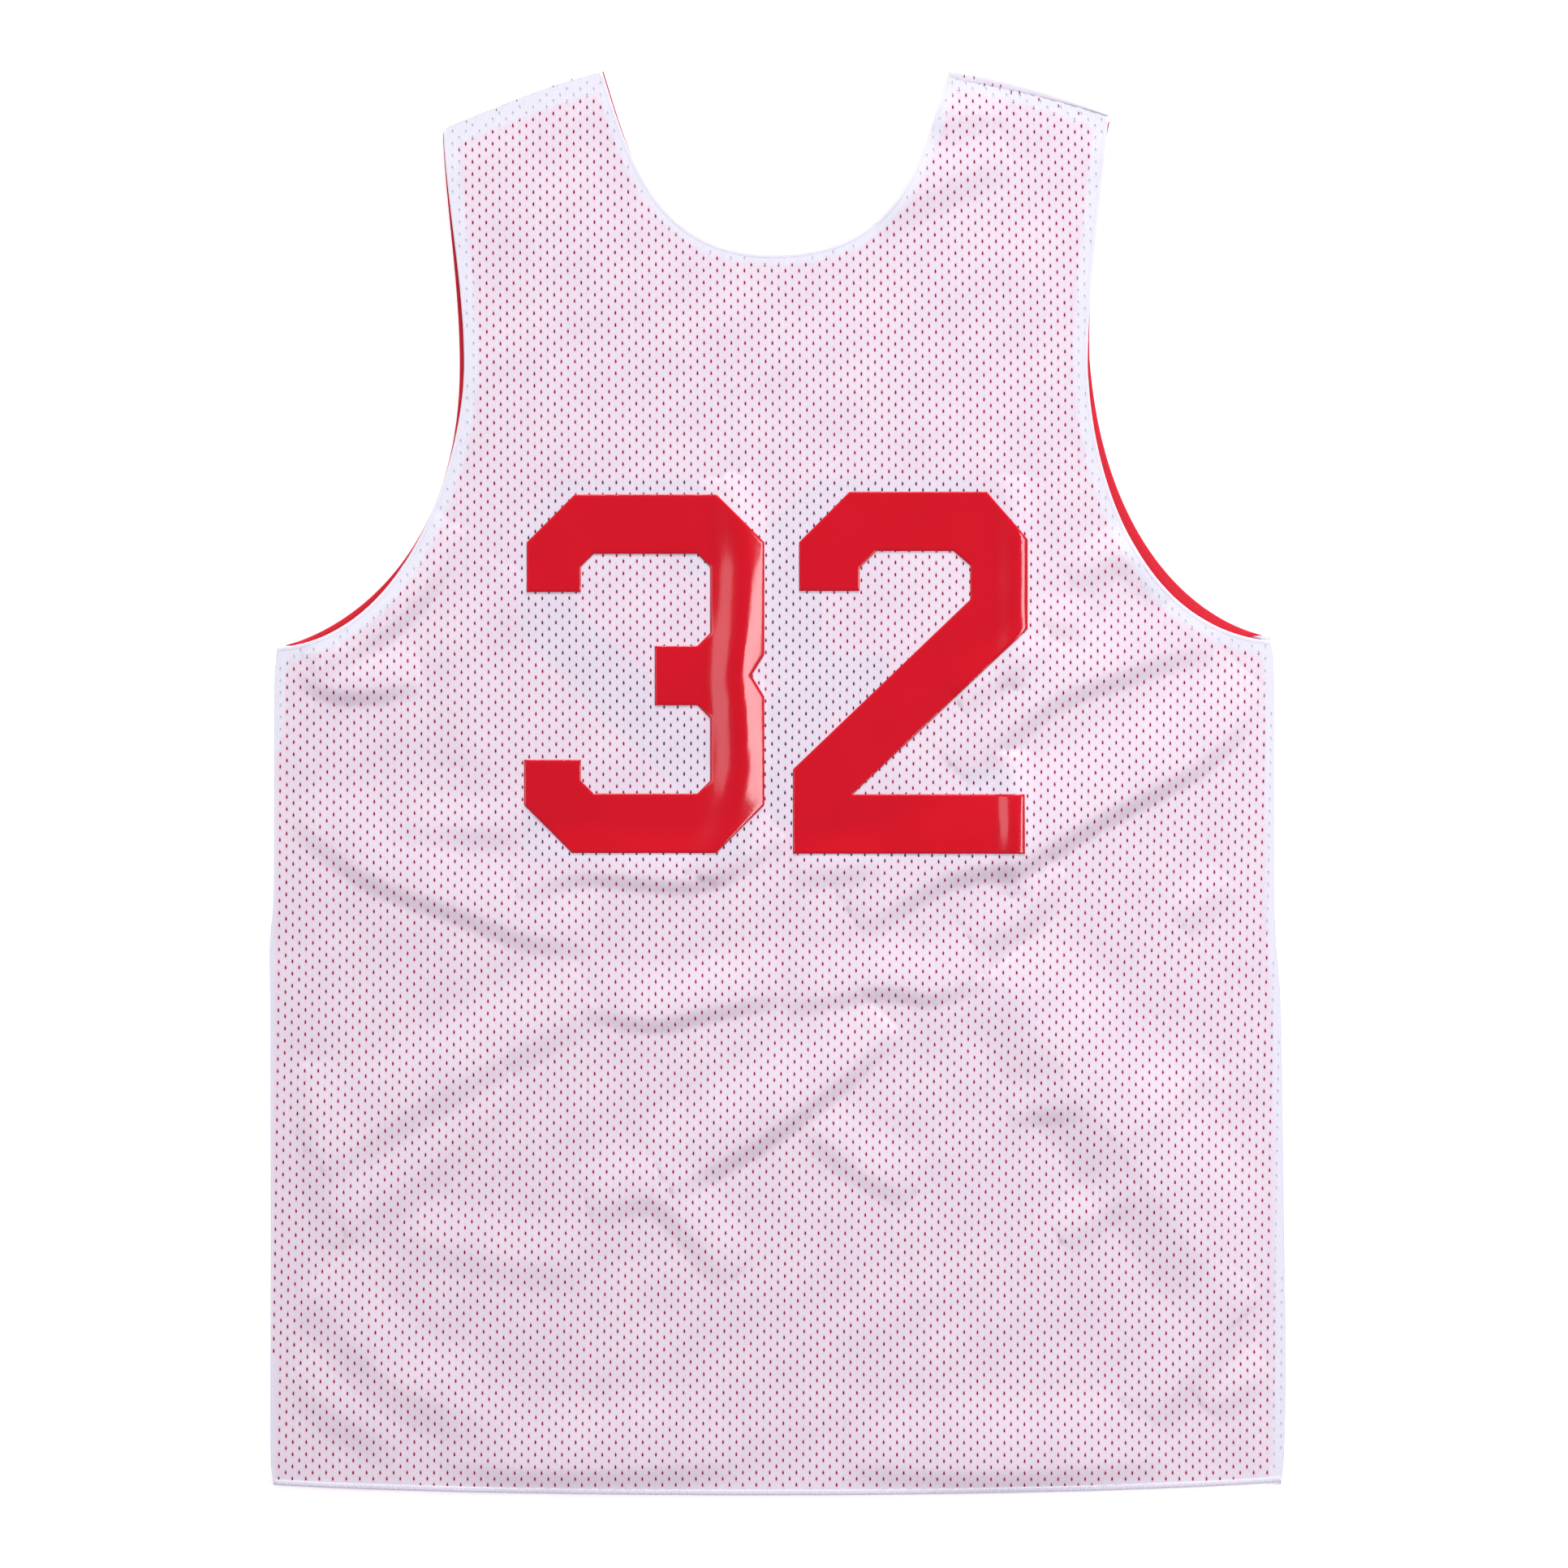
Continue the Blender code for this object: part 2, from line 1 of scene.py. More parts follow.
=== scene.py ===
# %% [markdown]
# A reversible practice jersey lies flat with its back up. It is four panels of
# perforated knit: a white and a red front below, then a red and a white back. The packed
# model gives their places and thickness, and this lesson gives them holes, creases,
# sewn edges and vinyl numerals. Every piece is made from the same flat outline and the
# same height of the cloth, so that nothing has to be fitted afterwards.

# %% Load the frame
import math

import bmesh
import bpy
import numpy as np
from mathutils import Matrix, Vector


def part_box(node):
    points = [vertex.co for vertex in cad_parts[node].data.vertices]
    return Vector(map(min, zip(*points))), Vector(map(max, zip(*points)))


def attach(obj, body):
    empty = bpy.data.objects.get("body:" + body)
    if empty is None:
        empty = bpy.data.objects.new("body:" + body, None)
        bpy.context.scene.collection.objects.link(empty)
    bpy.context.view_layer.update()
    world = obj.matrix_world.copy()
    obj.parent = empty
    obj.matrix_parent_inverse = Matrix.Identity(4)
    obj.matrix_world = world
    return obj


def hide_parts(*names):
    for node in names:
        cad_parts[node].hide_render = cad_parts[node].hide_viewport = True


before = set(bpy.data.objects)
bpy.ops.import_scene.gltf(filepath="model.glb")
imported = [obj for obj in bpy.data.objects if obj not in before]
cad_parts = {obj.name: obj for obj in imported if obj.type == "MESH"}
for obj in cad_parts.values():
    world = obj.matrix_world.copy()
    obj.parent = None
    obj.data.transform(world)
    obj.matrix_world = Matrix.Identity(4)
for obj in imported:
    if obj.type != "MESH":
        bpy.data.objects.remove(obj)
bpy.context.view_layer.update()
MM = 0.001
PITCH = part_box("back_inner")[0][2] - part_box("front_inner")[0][2]
BACK_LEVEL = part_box("back_inner")[0][2] + PITCH
print("one panel to the next", round(PITCH / MM, 2), "mm; upper panel from", BACK_LEVEL)

# %% [markdown]
# The cut of a jersey is a handful of curves: a hem, two side seams, two armholes, two
# shoulders and a neckline. Cubic curves hold each of them with four points. The side
# seams waver a little, as a sewn and washed one does, so they are rows of a table.

# %% The cut
SIDE_ROWS = (  # height, left edge, right edge
    (-0.3946, -0.2842, 0.2834),
    (-0.3800, -0.2857, 0.2850),
    (-0.3300, -0.2858, 0.2862),
    (-0.2500, -0.2857, 0.2852),
    (-0.1300, -0.2859, 0.2834),
    (-0.0890, -0.2862, 0.2806),
    (-0.0600, -0.2840, 0.2797),
    (0.0400, -0.2837, 0.2796),
    (0.0670, -0.2832, 0.2794),
    (0.0770, -0.2804, 0.2774),
)
HEM = ((-0.2842, -0.3946), (-0.1640, -0.4018), (0.1330, -0.4034), (0.2834, -0.3930))
LEFT_SHOULDER = ((-0.1885, 0.3692), (-0.1600, 0.3805), (-0.1300, 0.3940), (-0.0989, 0.4012))
RIGHT_SHOULDER = ((0.0962, 0.4014), (0.1130, 0.4003), (0.1560, 0.3888), (0.1862, 0.3768))
NECK_LEFT = ((-0.0989, 0.4012), (-0.0850, 0.3560), (-0.0700, 0.2982), (-0.0030, 0.2982))
NECK_RIGHT = ((-0.0030, 0.2982), (0.0700, 0.2982), (0.0800, 0.3500), (0.0962, 0.4014))
BACK_ARMHOLES = (
    ((-0.2804, 0.0770), (-0.2076, 0.0826), (-0.1766, 0.1855), (-0.1766, 0.2360)),
    ((-0.1766, 0.2360), (-0.1766, 0.2817), (-0.1867, 0.3274), (-0.1885, 0.3692)),
    ((0.2774, 0.0806), (0.2089, 0.0866), (0.1769, 0.1629), (0.1743, 0.2360)),
    ((0.1743, 0.2360), (0.1748, 0.2863), (0.1826, 0.3366), (0.1862, 0.3768)),
)
FRONT_ARMHOLES = (
    ((-0.2827, 0.0772), (-0.2512, 0.0828), (-0.1794, 0.1218), (-0.1794, 0.2360)),
    ((-0.1794, 0.2360), (-0.1794, 0.2817), (-0.1876, 0.3274), (-0.1890, 0.3686)),
    ((0.2783, 0.0829), (0.2333, 0.0908), (0.1829, 0.1400), (0.1757, 0.2405)),
    ((0.1757, 0.2405), (0.1752, 0.2908), (0.1790, 0.3366), (0.1874, 0.3752)),
)
FRONT_NECK_DROP = 0.026


def bezier(curve, count):
    """Points along one cubic curve, ends included."""
    start, start_handle, end_handle, end = (np.array(point) for point in curve)
    t = np.linspace(0.0, 1.0, count + 1)[:, None]
    s = 1.0 - t
    return s**3 * start + 3 * s**2 * t * start_handle + 3 * s * t**2 * end_handle + t**3 * end


def spaced(line, count):
    """The same line as evenly spaced points."""
    step = np.linalg.norm(np.diff(line, axis=0), axis=1)
    along = np.concatenate([[0.0], np.cumsum(step)])
    wanted = np.linspace(0.0, along[-1], count + 1)
    return np.column_stack([np.interp(wanted, along, line[:, axis]) for axis in (0, 1)])


def through(points, count):
    """A smooth curve through the given points, as evenly spaced ones."""
    points = np.array(points)
    padded = np.vstack([2 * points[0] - points[1], points, 2 * points[-1] - points[-2]])
    pieces = []
    for before, start, end, after in zip(padded, padded[1:], padded[2:], padded[3:]):
        handles = (start + (end - before) / 6.0, end - (after - start) / 6.0)
        pieces.append(bezier((start, handles[0], handles[1], end), 24)[:-1])
    return spaced(np.vstack(pieces + [points[-1:]]), count)


def smooth(value):
    """Smooth step from 0 to 1."""
    value = np.clip(value, 0.0, 1.0)
    return value * value * (3.0 - 2.0 * value)


def cut_edges(armholes, neck_drop):
    """The edges of one panel, each running counter-clockwise round it."""
    rows = np.array(SIDE_ROWS)
    left = np.column_stack([rows[:, 1], rows[:, 0]])
    right = np.column_stack([rows[:, 2], rows[:, 0]])
    left[-1] = armholes[0][0]
    right[-1] = armholes[2][0]
    neck = np.vstack([bezier(NECK_LEFT, 60), bezier(NECK_RIGHT, 60)[1:]])
    depth = (neck[0, 1] - neck[:, 1]) / (neck[0, 1] - neck[:, 1].min())
    neck[:, 1] -= neck_drop * smooth(depth)
    return {
        "hem": spaced(bezier(HEM, 60), 60),
        "right side": through(right, 44),
        "right armhole": np.vstack([bezier(armholes[2], 40), bezier(armholes[3], 16)[1:]]),
        "right shoulder": bezier(RIGHT_SHOULDER, 14)[::-1],
        "neck": spaced(neck[::-1], 110),
        "left shoulder": bezier(LEFT_SHOULDER, 14)[::-1],
        "left armhole": np.vstack([bezier(armholes[0], 40), bezier(armholes[1], 16)[1:]])[::-1],
        "left side": through(left, 44)[::-1],
    }


def outline(edges):
    """One closed outline from a panel's edges."""
    return np.vstack([line[:-1] for line in edges.values()])


back_edges = cut_edges(BACK_ARMHOLES, 0.0)
front_edges = cut_edges(FRONT_ARMHOLES, FRONT_NECK_DROP)


def flat_area(loop):
    """Area inside a closed outline."""
    x, y = loop[:, 0], loop[:, 1]
    return 0.5 * abs(np.sum(x * np.roll(y, -1) - np.roll(x, -1) * y))


print("a back panel's flat area", round(flat_area(outline(back_edges)), 4), "square metres")

# %% [markdown]
# Distance is the tool for most of what follows. How far a point lies inside the outline
# says where the cloth ends, where the seam allowance lies and where the cloth rolls into
# a seam. Numpy measures every point against one short segment at a time.

# %% Distances
def to_line(x, y, line):
    """Distance to a line, which side of it, and the share along it."""
    nearest = np.full(x.shape, np.inf)
    side = np.zeros(x.shape)
    place = np.zeros(x.shape)
    count = len(line) - 1
    for index, (start, end) in enumerate(zip(line, line[1:])):
        run = end - start
        share = ((x - start[0]) * run[0] + (y - start[1]) * run[1]) / (run @ run)
        share = np.clip(share, 0.0, 1.0)
        away = np.hypot(x - start[0] - share * run[0], y - start[1] - share * run[1])
        closer = away < nearest
        nearest = np.where(closer, away, nearest)
        cross = run[0] * (y - start[1]) - run[1] * (x - start[0])
        side = np.where(closer, np.sign(cross), side)
        place = np.where(closer, (index + share) / count, place)
    return nearest, side, place


def inward(line):
    """Directions into the cloth along an edge that runs counter-clockwise."""
    step = np.gradient(line, axis=0)
    normal = np.column_stack([-step[:, 1], step[:, 0]])
    return normal / np.linalg.norm(normal, axis=1)[:, None]


def within(x, y, loop):
    """Whether points lie inside a closed outline."""
    found = np.zeros(x.shape, dtype=bool)
    for (x0, y0), (x1, y1) in zip(loop, np.roll(loop, -1, axis=0)):
        if y0 == y1:
            continue
        crosses = (y0 > y) != (y1 > y)
        found ^= crosses & (x < x0 + (y - y0) * (x1 - x0) / (y1 - y0))
    return found


def depth_inside(x, y, loop):
    """Distance to a closed outline, positive inside it."""
    closed = np.vstack([loop, loop[:1]])
    away, _, _ = to_line(x, y, closed)
    return np.where(within(x, y, loop), away, -away)


# %% [markdown]
# A flat jersey is never quite flat. Each crease is a soft ridge: gentle on the side that
# faces the light and steep on the lower side, running out at both ends. The table gives
# the height and the two widths in millimetres, and points along the steep side, where the
# crease shows as a line. A swell's points lie on its crest.

# %% The creases
CREASES = (
    ("right drag", 4.8, 46, 11, ((0.276, 0.050), (0.238, 0.012), (0.179, -0.020),
        (0.133, -0.047), (0.101, -0.050), (0.046, -0.082))),
    ("centre diagonal", 4.5, 42, 11, ((0.066, -0.138), (0.033, -0.169), (-0.008, -0.199),
        (-0.060, -0.230))),
    ("waist left", 3.0, 32, 9.5, ((-0.110, -0.127), (-0.072, -0.134), (-0.040, -0.128),
        (0.004, -0.119))),
    ("waist right", 2.8, 30, 9.5, ((0.004, -0.126), (0.056, -0.116), (0.088, -0.119),
        (0.122, -0.106))),
    ("left drag", 3.0, 40, 11, ((-0.276, -0.018), (-0.232, -0.052), (-0.182, -0.071),
        (-0.141, -0.087), (-0.104, -0.093))),
    ("under the three", 2.7, 28, 9, ((-0.146, -0.063), (-0.109, -0.052), (-0.043, -0.055),
        (0.003, -0.030))),
    ("left fan", 3.0, 38, 15, ((-0.100, -0.127), (-0.164, -0.162), (-0.210, -0.189),
        (-0.254, -0.221))),
    ("right slope", 6.0, 56, 32, ((0.112, -0.110), (0.156, -0.171), (0.202, -0.235),
        (0.254, -0.306))),
    ("hem left pull", 2.7, 36, 20, ((-0.270, -0.285), (-0.232, -0.331), (-0.200, -0.352),
        (-0.158, -0.366))),
    ("hem corner left", 1.7, 28, 16, ((-0.276, -0.334), (-0.255, -0.354), (-0.215, -0.379))),
    ("armpit left", 3.0, 28, 9.5, ((-0.272, 0.064), (-0.255, 0.053), (-0.232, 0.051),
        (-0.200, 0.056))),
    ("armhole left", 2.9, 22, 9.5, ((-0.262, 0.062), (-0.223, 0.084), (-0.196, 0.112),
        (-0.178, 0.145))),
    ("armpit right", 3.3, 36, 11.5, ((0.246, 0.072), (0.225, 0.072), (0.193, 0.061),
        (0.151, 0.044), (0.106, 0.002))),
    ("armhole right", 2.0, 18, 12, ((0.168, 0.110), (0.193, 0.124), (0.215, 0.100))),
    ("beside the three", 1.4, 22, 12, ((-0.222, -0.024), (-0.182, -0.029), (-0.143, -0.030))),
    ("low centre", 2.3, 28, 12, ((-0.106, -0.243), (-0.072, -0.235), (-0.052, -0.253),
        (-0.030, -0.281))),
    ("low left", 1.2, 28, 16, ((-0.226, -0.250), (-0.182, -0.266), (-0.140, -0.274),
        (-0.106, -0.278))),
    ("hem right pull", 2.8, 34, 16, ((0.212, -0.362), (0.247, -0.320), (0.274, -0.286))),
    ("hem corner right", 1.8, 22, 12, ((0.244, -0.356), (0.278, -0.330))),
    ("hem wave left", 2.8, 46, 13, ((-0.190, -0.385), (-0.118, -0.389), (-0.020, -0.385))),
    ("hem wave right", 3.2, 46, 13, ((0.036, -0.386), (0.124, -0.390), (0.220, -0.383))),
    ("shoulder right", 1.6, 22, 14, ((0.088, 0.364), (0.130, 0.379))),
    ("neck right", 2.0, 28, 16, ((0.054, 0.315), (0.092, 0.332), (0.132, 0.350))),
    ("low middle", 2.0, 28, 11, ((0.014, -0.192), (0.042, -0.217), (0.075, -0.234))),
    ("left of the three", 1.8, 24, 18, ((-0.156, 0.126), (-0.184, 0.076), (-0.189, 0.010))),
    ("right short", 2.2, 24, 12, ((0.112, -0.094), (0.142, -0.075), (0.160, -0.048))),
    ("under the two", 1.8, 22, 11, ((0.008, -0.053), (0.060, -0.047))),
    ("beside the two", 2.0, 22, 11, ((0.104, 0.042), (0.156, 0.080))),
    ("right of the two", 1.6, 18, 10, ((0.142, 0.091), (0.176, 0.084))),
    ("left side", 1.8, 24, 14, ((-0.269, -0.158), (-0.262, -0.208), (-0.253, -0.262))),
    ("slope branch", 1.8, 20, 10, ((0.130, -0.188), (0.175, -0.182))),
    ("slope branch low", 1.8, 20, 12, ((0.162, -0.260), (0.203, -0.228))),
    ("right side", 1.8, 26, 14, ((0.192, -0.206), (0.220, -0.185), (0.247, -0.160))),
    ("right side high", 1.4, 20, 12, ((0.230, -0.082), (0.256, -0.055))),
    ("fan branch", 1.8, 28, 16, ((-0.240, -0.257), (-0.182, -0.208), (-0.142, -0.172))),
)
SWELLS = (  # upright ones under the numerals, steep on the right
    ("three's right stroke", 4.5, 22, 13, ((-0.0275, 0.1740), (-0.0190, 0.1380),
        (-0.0180, 0.1122), (-0.0200, 0.0848), (-0.0222, 0.0596), (-0.0206, 0.0436),
        (-0.0198, 0.0071), (-0.0238, -0.0112), (-0.0415, -0.0540))),
    ("two's right stroke", 3.1, 16, 9.5, ((0.1334, 0.174), (0.1352, 0.120), (0.1340, 0.054))),
    ("two's foot", 3.0, 14, 9, ((0.1333, 0.018), (0.1335, -0.063))),
)
LIGHT_SIDE = np.array([0.3, 1.0])
CREST = 2.2 * MM
RELIEF_CAP = 8.5 * MM
UNEVENNESS = 0.22 * MM
SEAM_ROLL = 3.2 * MM
ROLL_SHARE = 0.45
RELIEF_FADE = 20 * MM


def crease_height(x, y, crease, gentle_side=LIGHT_SIDE, taper=0.6, shift=0.38, hollow=0.7):
    """How far one crease lifts the cloth; shift moves its crest off its points."""
    _, height, gentle, steep, points = crease
    line = through(points, 14)
    run = line[-1] - line[0]
    facing = np.sign(run[0] * gentle_side[1] - run[1] * gentle_side[0])
    line = line + facing * inward(line) * shift * steep * MM
    away, side, place = to_line(x, y, line)
    from_crest = np.hypot(away, CREST) - CREST
    slope = np.clip(1.0 - from_crest / (steep * MM), 0.0, 1.0)
    rounded = 1.0 - smooth(away / (gentle * MM))
    fallen = slope**(1 + hollow) * (1 + hollow * (1 - slope))
    profile = np.where(side * facing >= 0, rounded, fallen)
    return height * MM * profile * np.sin(math.pi * np.clip(place, 0.0, 1.0))**taper


def relief(x, y):
    """How far all creases and the cloth's small unevenness lift it."""
    total = np.zeros(x.shape)
    for crease in CREASES:
        reach = 1.4 * max(crease[2], crease[3]) * MM
        points = np.array(crease[4])
        low = points.min(axis=0) - reach
        high = points.max(axis=0) + reach
        near = (x > low[0]) & (x < high[0]) & (y > low[1]) & (y < high[1])
        total[near] += crease_height(x[near], y[near], crease)
    total = RELIEF_CAP * (1.0 - np.exp(-total / RELIEF_CAP))
    for swell in SWELLS:
        total += crease_height(x, y, swell, gentle_side=(-1.0, 0.1), taper=0.5, shift=0.0,
                               hollow=0.05)
    uneven = np.sin(61 * x + 17 * y) * np.sin(43 * y - 29 * x + 1.0)
    uneven += 0.6 * np.sin(127 * x - 71 * y + 2.0) * np.sin(97 * y + 53 * x)
    return total + UNEVENNESS * (uneven + 1.6)


def seam_nearness(x, y, edges):
    """Distance to the nearest side seam or shoulder seam."""
    nearest = np.full(x.shape, np.inf)
    for name in ("left side", "right side", "left shoulder", "right shoulder"):
        away, _, _ = to_line(x, y, edges[name][::2])
        nearest = np.minimum(nearest, away)
    return nearest


def back_height(x, y, level, share=1.0):
    """Height of a back panel: its level, the creases, and the roll into the seams."""
    seam = seam_nearness(x, y, back_edges)
    roll = ROLL_SHARE * PITCH * np.clip(1.0 - seam / SEAM_ROLL, 0.0, 1.0)**2
    fade = smooth((seam - SEAM_ROLL) / RELIEF_FADE)
    return level - share * roll + share * relief(x, y) * fade


def front_height(x, y, level, share=1.0):
    """Height of a front panel: flat, but for the roll up into the seams."""
    seam = seam_nearness(x, y, front_edges)
    roll = ROLL_SHARE * PITCH * np.clip(1.0 - seam / SEAM_ROLL, 0.0, 1.0)**2
    return level + share * roll


# %% [markdown]
# The knit is perforated: upright drops, staggered like bricks, 3.8 mm apart across and
# 6.9 mm apart down. A Boolean for each of so many holes would be slow. Instead the
# cloth is built from cells, each a rectangle with a hole in it, whose corners and middles
# meet those of the next column. Cells that cross the outline are clipped to it.

# %% The perforated cloth
COLUMN = 3.79 * MM
HOLE_STEP = 6.86 * MM
HOLE = np.array([(-0.34, -1.02), (0.34, -1.02), (0.58, -0.10),
                 (0.22, 1.12), (-0.22, 1.12), (-0.58, -0.10)]) * MM
HOLE_MARGIN = 1.9 * MM
COVER_MARGIN = 3.2 * MM
NEAR_EDGE = 0.12 * MM
FIELD = (0.60, 0.84)


def lattice(shift):
    """Corner points of all cells, and the six corners of each cell in turn."""
    across = int(FIELD[0] / COLUMN)
    up = int(FIELD[1] / HOLE_STEP) * 2
    column, row = np.meshgrid(np.arange(across + 1), np.arange(up + 1), indexing="ij")
    x = (column - across / 2) * COLUMN + shift[0]
    y = (row - up / 2) * HOLE_STEP / 2 + shift[1]
    drift = 3.0 * MM * np.sin(5.1 * y + 0.8) + 1.6 * MM * np.sin(9.0 * x) * np.sin(7.0 * y)
    sag = 2.2 * MM * np.sin(8.0 * x + 2.0) * np.cos(4.0 * y)
    points = np.column_stack([(x + drift).ravel(), (y + sag).ravel()])
    cells = []
    for left in range(across):
        low = np.arange(left % 2, up - 1, 2)
        start = left * (up + 1) + low
        right = start + up + 1
        cells.append(np.column_stack([start, right, right + 1, right + 2, start + 2, start + 1]))
    return points, np.vstack(cells)


def clip(points, depth, triangles):
    """Triangles cut off where the depth turns negative; new points go on the list."""
    points = list(map(tuple, points))
    depth = list(depth)
    crossing = {}

    def cut(first, second):
        key = (min(first, second), max(first, second))
        if key not in crossing:
            share = depth[first] / (depth[first] - depth[second])
            ends = zip(points[first], points[second])
            points.append(tuple(a + share * (b - a) for a, b in ends))
            depth.append(0.0)
            crossing[key] = len(points) - 1
        return crossing[key]

    kept = []
    for triangle in triangles:
        loop = []
        for first, second in zip(triangle, triangle[1:] + triangle[:1]):
            if depth[first] >= 0:
                loop.append(first)
            if (depth[first] >= 0) != (depth[second] >= 0) and depth[first] and depth[second]:
                loop.append(cut(first, second))
        for index in range(1, len(loop) - 1):
            kept.append((loop[0], loop[index], loop[index + 1]))
    return points, kept


def perforated(shift, loop, covered=(), inset=0.0):
    """Flat points and faces of a perforated panel; cells under a covering stay whole."""
    points, cells = lattice(shift)
    depth = depth_inside(points[:, 0], points[:, 1], loop) - inset * MM
    depth[np.abs(depth) < NEAR_EDGE] = 0.0
    inside = (depth[cells] >= 0).all(axis=1)
    touching = (depth[cells] > 0).any(axis=1)
    middle = points[cells].mean(axis=1)
    middle_depth = depth[cells].mean(axis=1)
    open_cell = middle_depth > HOLE_MARGIN
    for cover in covered:
        deep = depth_inside(middle[:, 0], middle[:, 1], cover)
        open_cell &= deep < COVER_MARGIN
    holed = inside & open_cell
    rims = (middle[holed][:, None, :] + HOLE[None, :, :]).reshape(-1, 2)
    first = len(points) + 6 * np.arange(holed.sum())[:, None]
    rim = first + np.arange(6)[None, :]
    ring = cells[holed]
    faces = [
        np.column_stack([ring[:, k], ring[:, (k + 1) % 6], rim[:, (k + 1) % 6], rim[:, k]])
        for k in range(6)
    ]
    faces = np.vstack(faces).tolist()
    plain = cells[inside & ~open_cell]
    faces += plain[:, [0, 1, 2, 5]].tolist() + plain[:, [5, 2, 3, 4]].tolist()
    edge = cells[touching & ~inside]
    edge_triangles = [tuple(cell[k] for k in (0, i, i + 1)) for cell in edge.tolist()
                      for i in range(1, 5)]
    whole = np.vstack([points, rims])
    rim_depth = np.full(len(rims), HOLE_MARGIN)
    clipped, triangles = clip(whole, np.concatenate([depth, rim_depth]), edge_triangles)
    faces += [list(triangle) for triangle in triangles]
    near_hole = np.zeros(len(clipped))
    near_hole[len(points):len(points) + len(rims)] = 1.0
    used = sorted({corner for face in faces for corner in face})
    place = {corner: index for index, corner in enumerate(used)}
    faces = [[place[corner] for corner in face] for face in faces]
    return np.array(clipped)[used], faces, near_hole[used]


def add_piece(name, points, faces, material, marks=None, body="root"):
    """A smooth mesh piece with named values on its points, and a body."""
    mesh = bpy.data.meshes.new(name)
    mesh.from_pydata(np.asarray(points).tolist(), [], faces)
    mesh.validate()
    mesh.shade_smooth()
    mesh.materials.append(material)
    for key, values in (marks or {}).items():
        layer = mesh.attributes.new(key, "FLOAT", "POINT")
        layer.data.foreach_set("value", np.asarray(values, dtype=np.float32))
    piece = bpy.data.objects.new(name, mesh)
    bpy.context.scene.collection.objects.link(piece)
    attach(piece, body)
    mesh.calc_loop_triangles()
    print(name, len(mesh.loop_triangles), "triangles")
    return piece


def map_from_above(piece):
    """A map of the piece, seen from above."""
    mesh = piece.data
    corners = np.zeros(len(mesh.loops), dtype=np.int32)
    mesh.loops.foreach_get("vertex_index", corners)
    places = np.zeros(len(mesh.vertices) * 3)
    mesh.vertices.foreach_get("co", places)
    flat = places.reshape(-1, 3)[:, :2]
    low = flat.min(axis=0)
    size = (flat.max(axis=0) - low).max()
    layer = mesh.uv_layers.new(name="OFBake")
    layer.data.foreach_set("uv", ((flat - low) / size)[corners].ravel())


# %% [markdown]
# Numerals are cut from film with straight strokes and clipped corners. The outline comes
# from a few stroke sizes. The same two shapes, mirrored, stand for the number on the
# jersey's other side, which shows through the two layers as a cooler tint.

# %% The numerals' shapes
UPRIGHT = 30.5 * MM
BAR = 33.5 * MM
OUTER_CHAMFER = 27.0 * MM
INNER_CHAMFER = 7.2 * MM


def digit_three(left, bottom, width, height):
    """Outline of a block 3, counter-clockwise from its lower left chamfer."""
    right = left + width
    top = bottom + height
    cut = OUTER_CHAMFER
    small = INNER_CHAMFER
    notch = 7.2 * MM
    notch_half = 11.8 * MM
    waist = bottom + 99.8 * MM
    bar_left = left + 73.5 * MM
    hook_left = left + 1.4 * MM
    inner_left = left + UPRIGHT + 1.4 * MM
    inner_right = right - UPRIGHT
    upper_stub = top - cut - 28.0 * MM
    lower_stub = bottom + cut + 25.5 * MM
    return np.array((
        (left + cut, bottom), (right - cut, bottom), (right, bottom + cut),
        (right, waist - notch_half), (right - notch, waist), (right, waist + notch_half),
        (right, top - cut), (right - cut, top), (hook_left + cut, top), (hook_left, top - cut),
        (hook_left, upper_stub), (inner_left, upper_stub),
        (inner_left, top - BAR - small), (inner_left + small, top - BAR),
        (inner_right - small, top - BAR), (inner_right, top - BAR - small),
        (inner_right, waist + BAR / 2 + small), (inner_right - small, waist + BAR / 2),
        (bar_left, waist + BAR / 2), (bar_left, waist - BAR / 2),
        (inner_right - small, waist - BAR / 2), (inner_right, waist - BAR / 2 - small),
        (inner_right, bottom + BAR + small), (inner_right - small, bottom + BAR),
        (inner_left + small, bottom + BAR), (inner_left, bottom + BAR + small),
        (inner_left, lower_stub), (left, lower_stub), (left, bottom + cut),
    ))


def digit_two(left, bottom, width, height):
    """Outline of a block 2, counter-clockwise from its lower left corner."""
    right = left + width
    top = bottom + height
    cut = OUTER_CHAMFER
    small = 9.5 * MM
    foot_right = right - 1.8 * MM
    hook_left = left + 3.4 * MM
    hook_end = top - cut - 29.0 * MM
    hook_inner = hook_left + 34.0 * MM
    inner_right = right - 32.3 * MM
    return np.array((
        (left, bottom), (foot_right, bottom), (foot_right, bottom + BAR),
        (left + 33.6 * MM, bottom + BAR), (right, bottom + 126.5 * MM), (right, top - cut),
        (right - 23.0 * MM, top), (hook_left + 28.5 * MM, top), (hook_left, top - 28.5 * MM),
        (hook_left, hook_end), (hook_inner, hook_end), (hook_inner, top - BAR - small),
        (hook_inner + small, top - BAR), (inner_right - small, top - BAR),
        (inner_right, top - BAR - 8.0 * MM), (inner_right, bottom + 143.0 * MM),
        (left, bottom + 47.5 * MM),
    ))


three = digit_three(-0.1428, -0.0388, 0.1352, 0.2018)
two = digit_two(0.0085, -0.0392, 0.1320, 0.2038)
GHOST_BOTTOM = -0.0434
GHOST_HEIGHT = 0.2157
ghost_three = digit_three(-0.1358, GHOST_BOTTOM, 0.1420, GHOST_HEIGHT) * (-1, 1)
ghost_two = digit_two(0.0153, GHOST_BOTTOM, 0.1300, GHOST_HEIGHT) * (-1, 1)


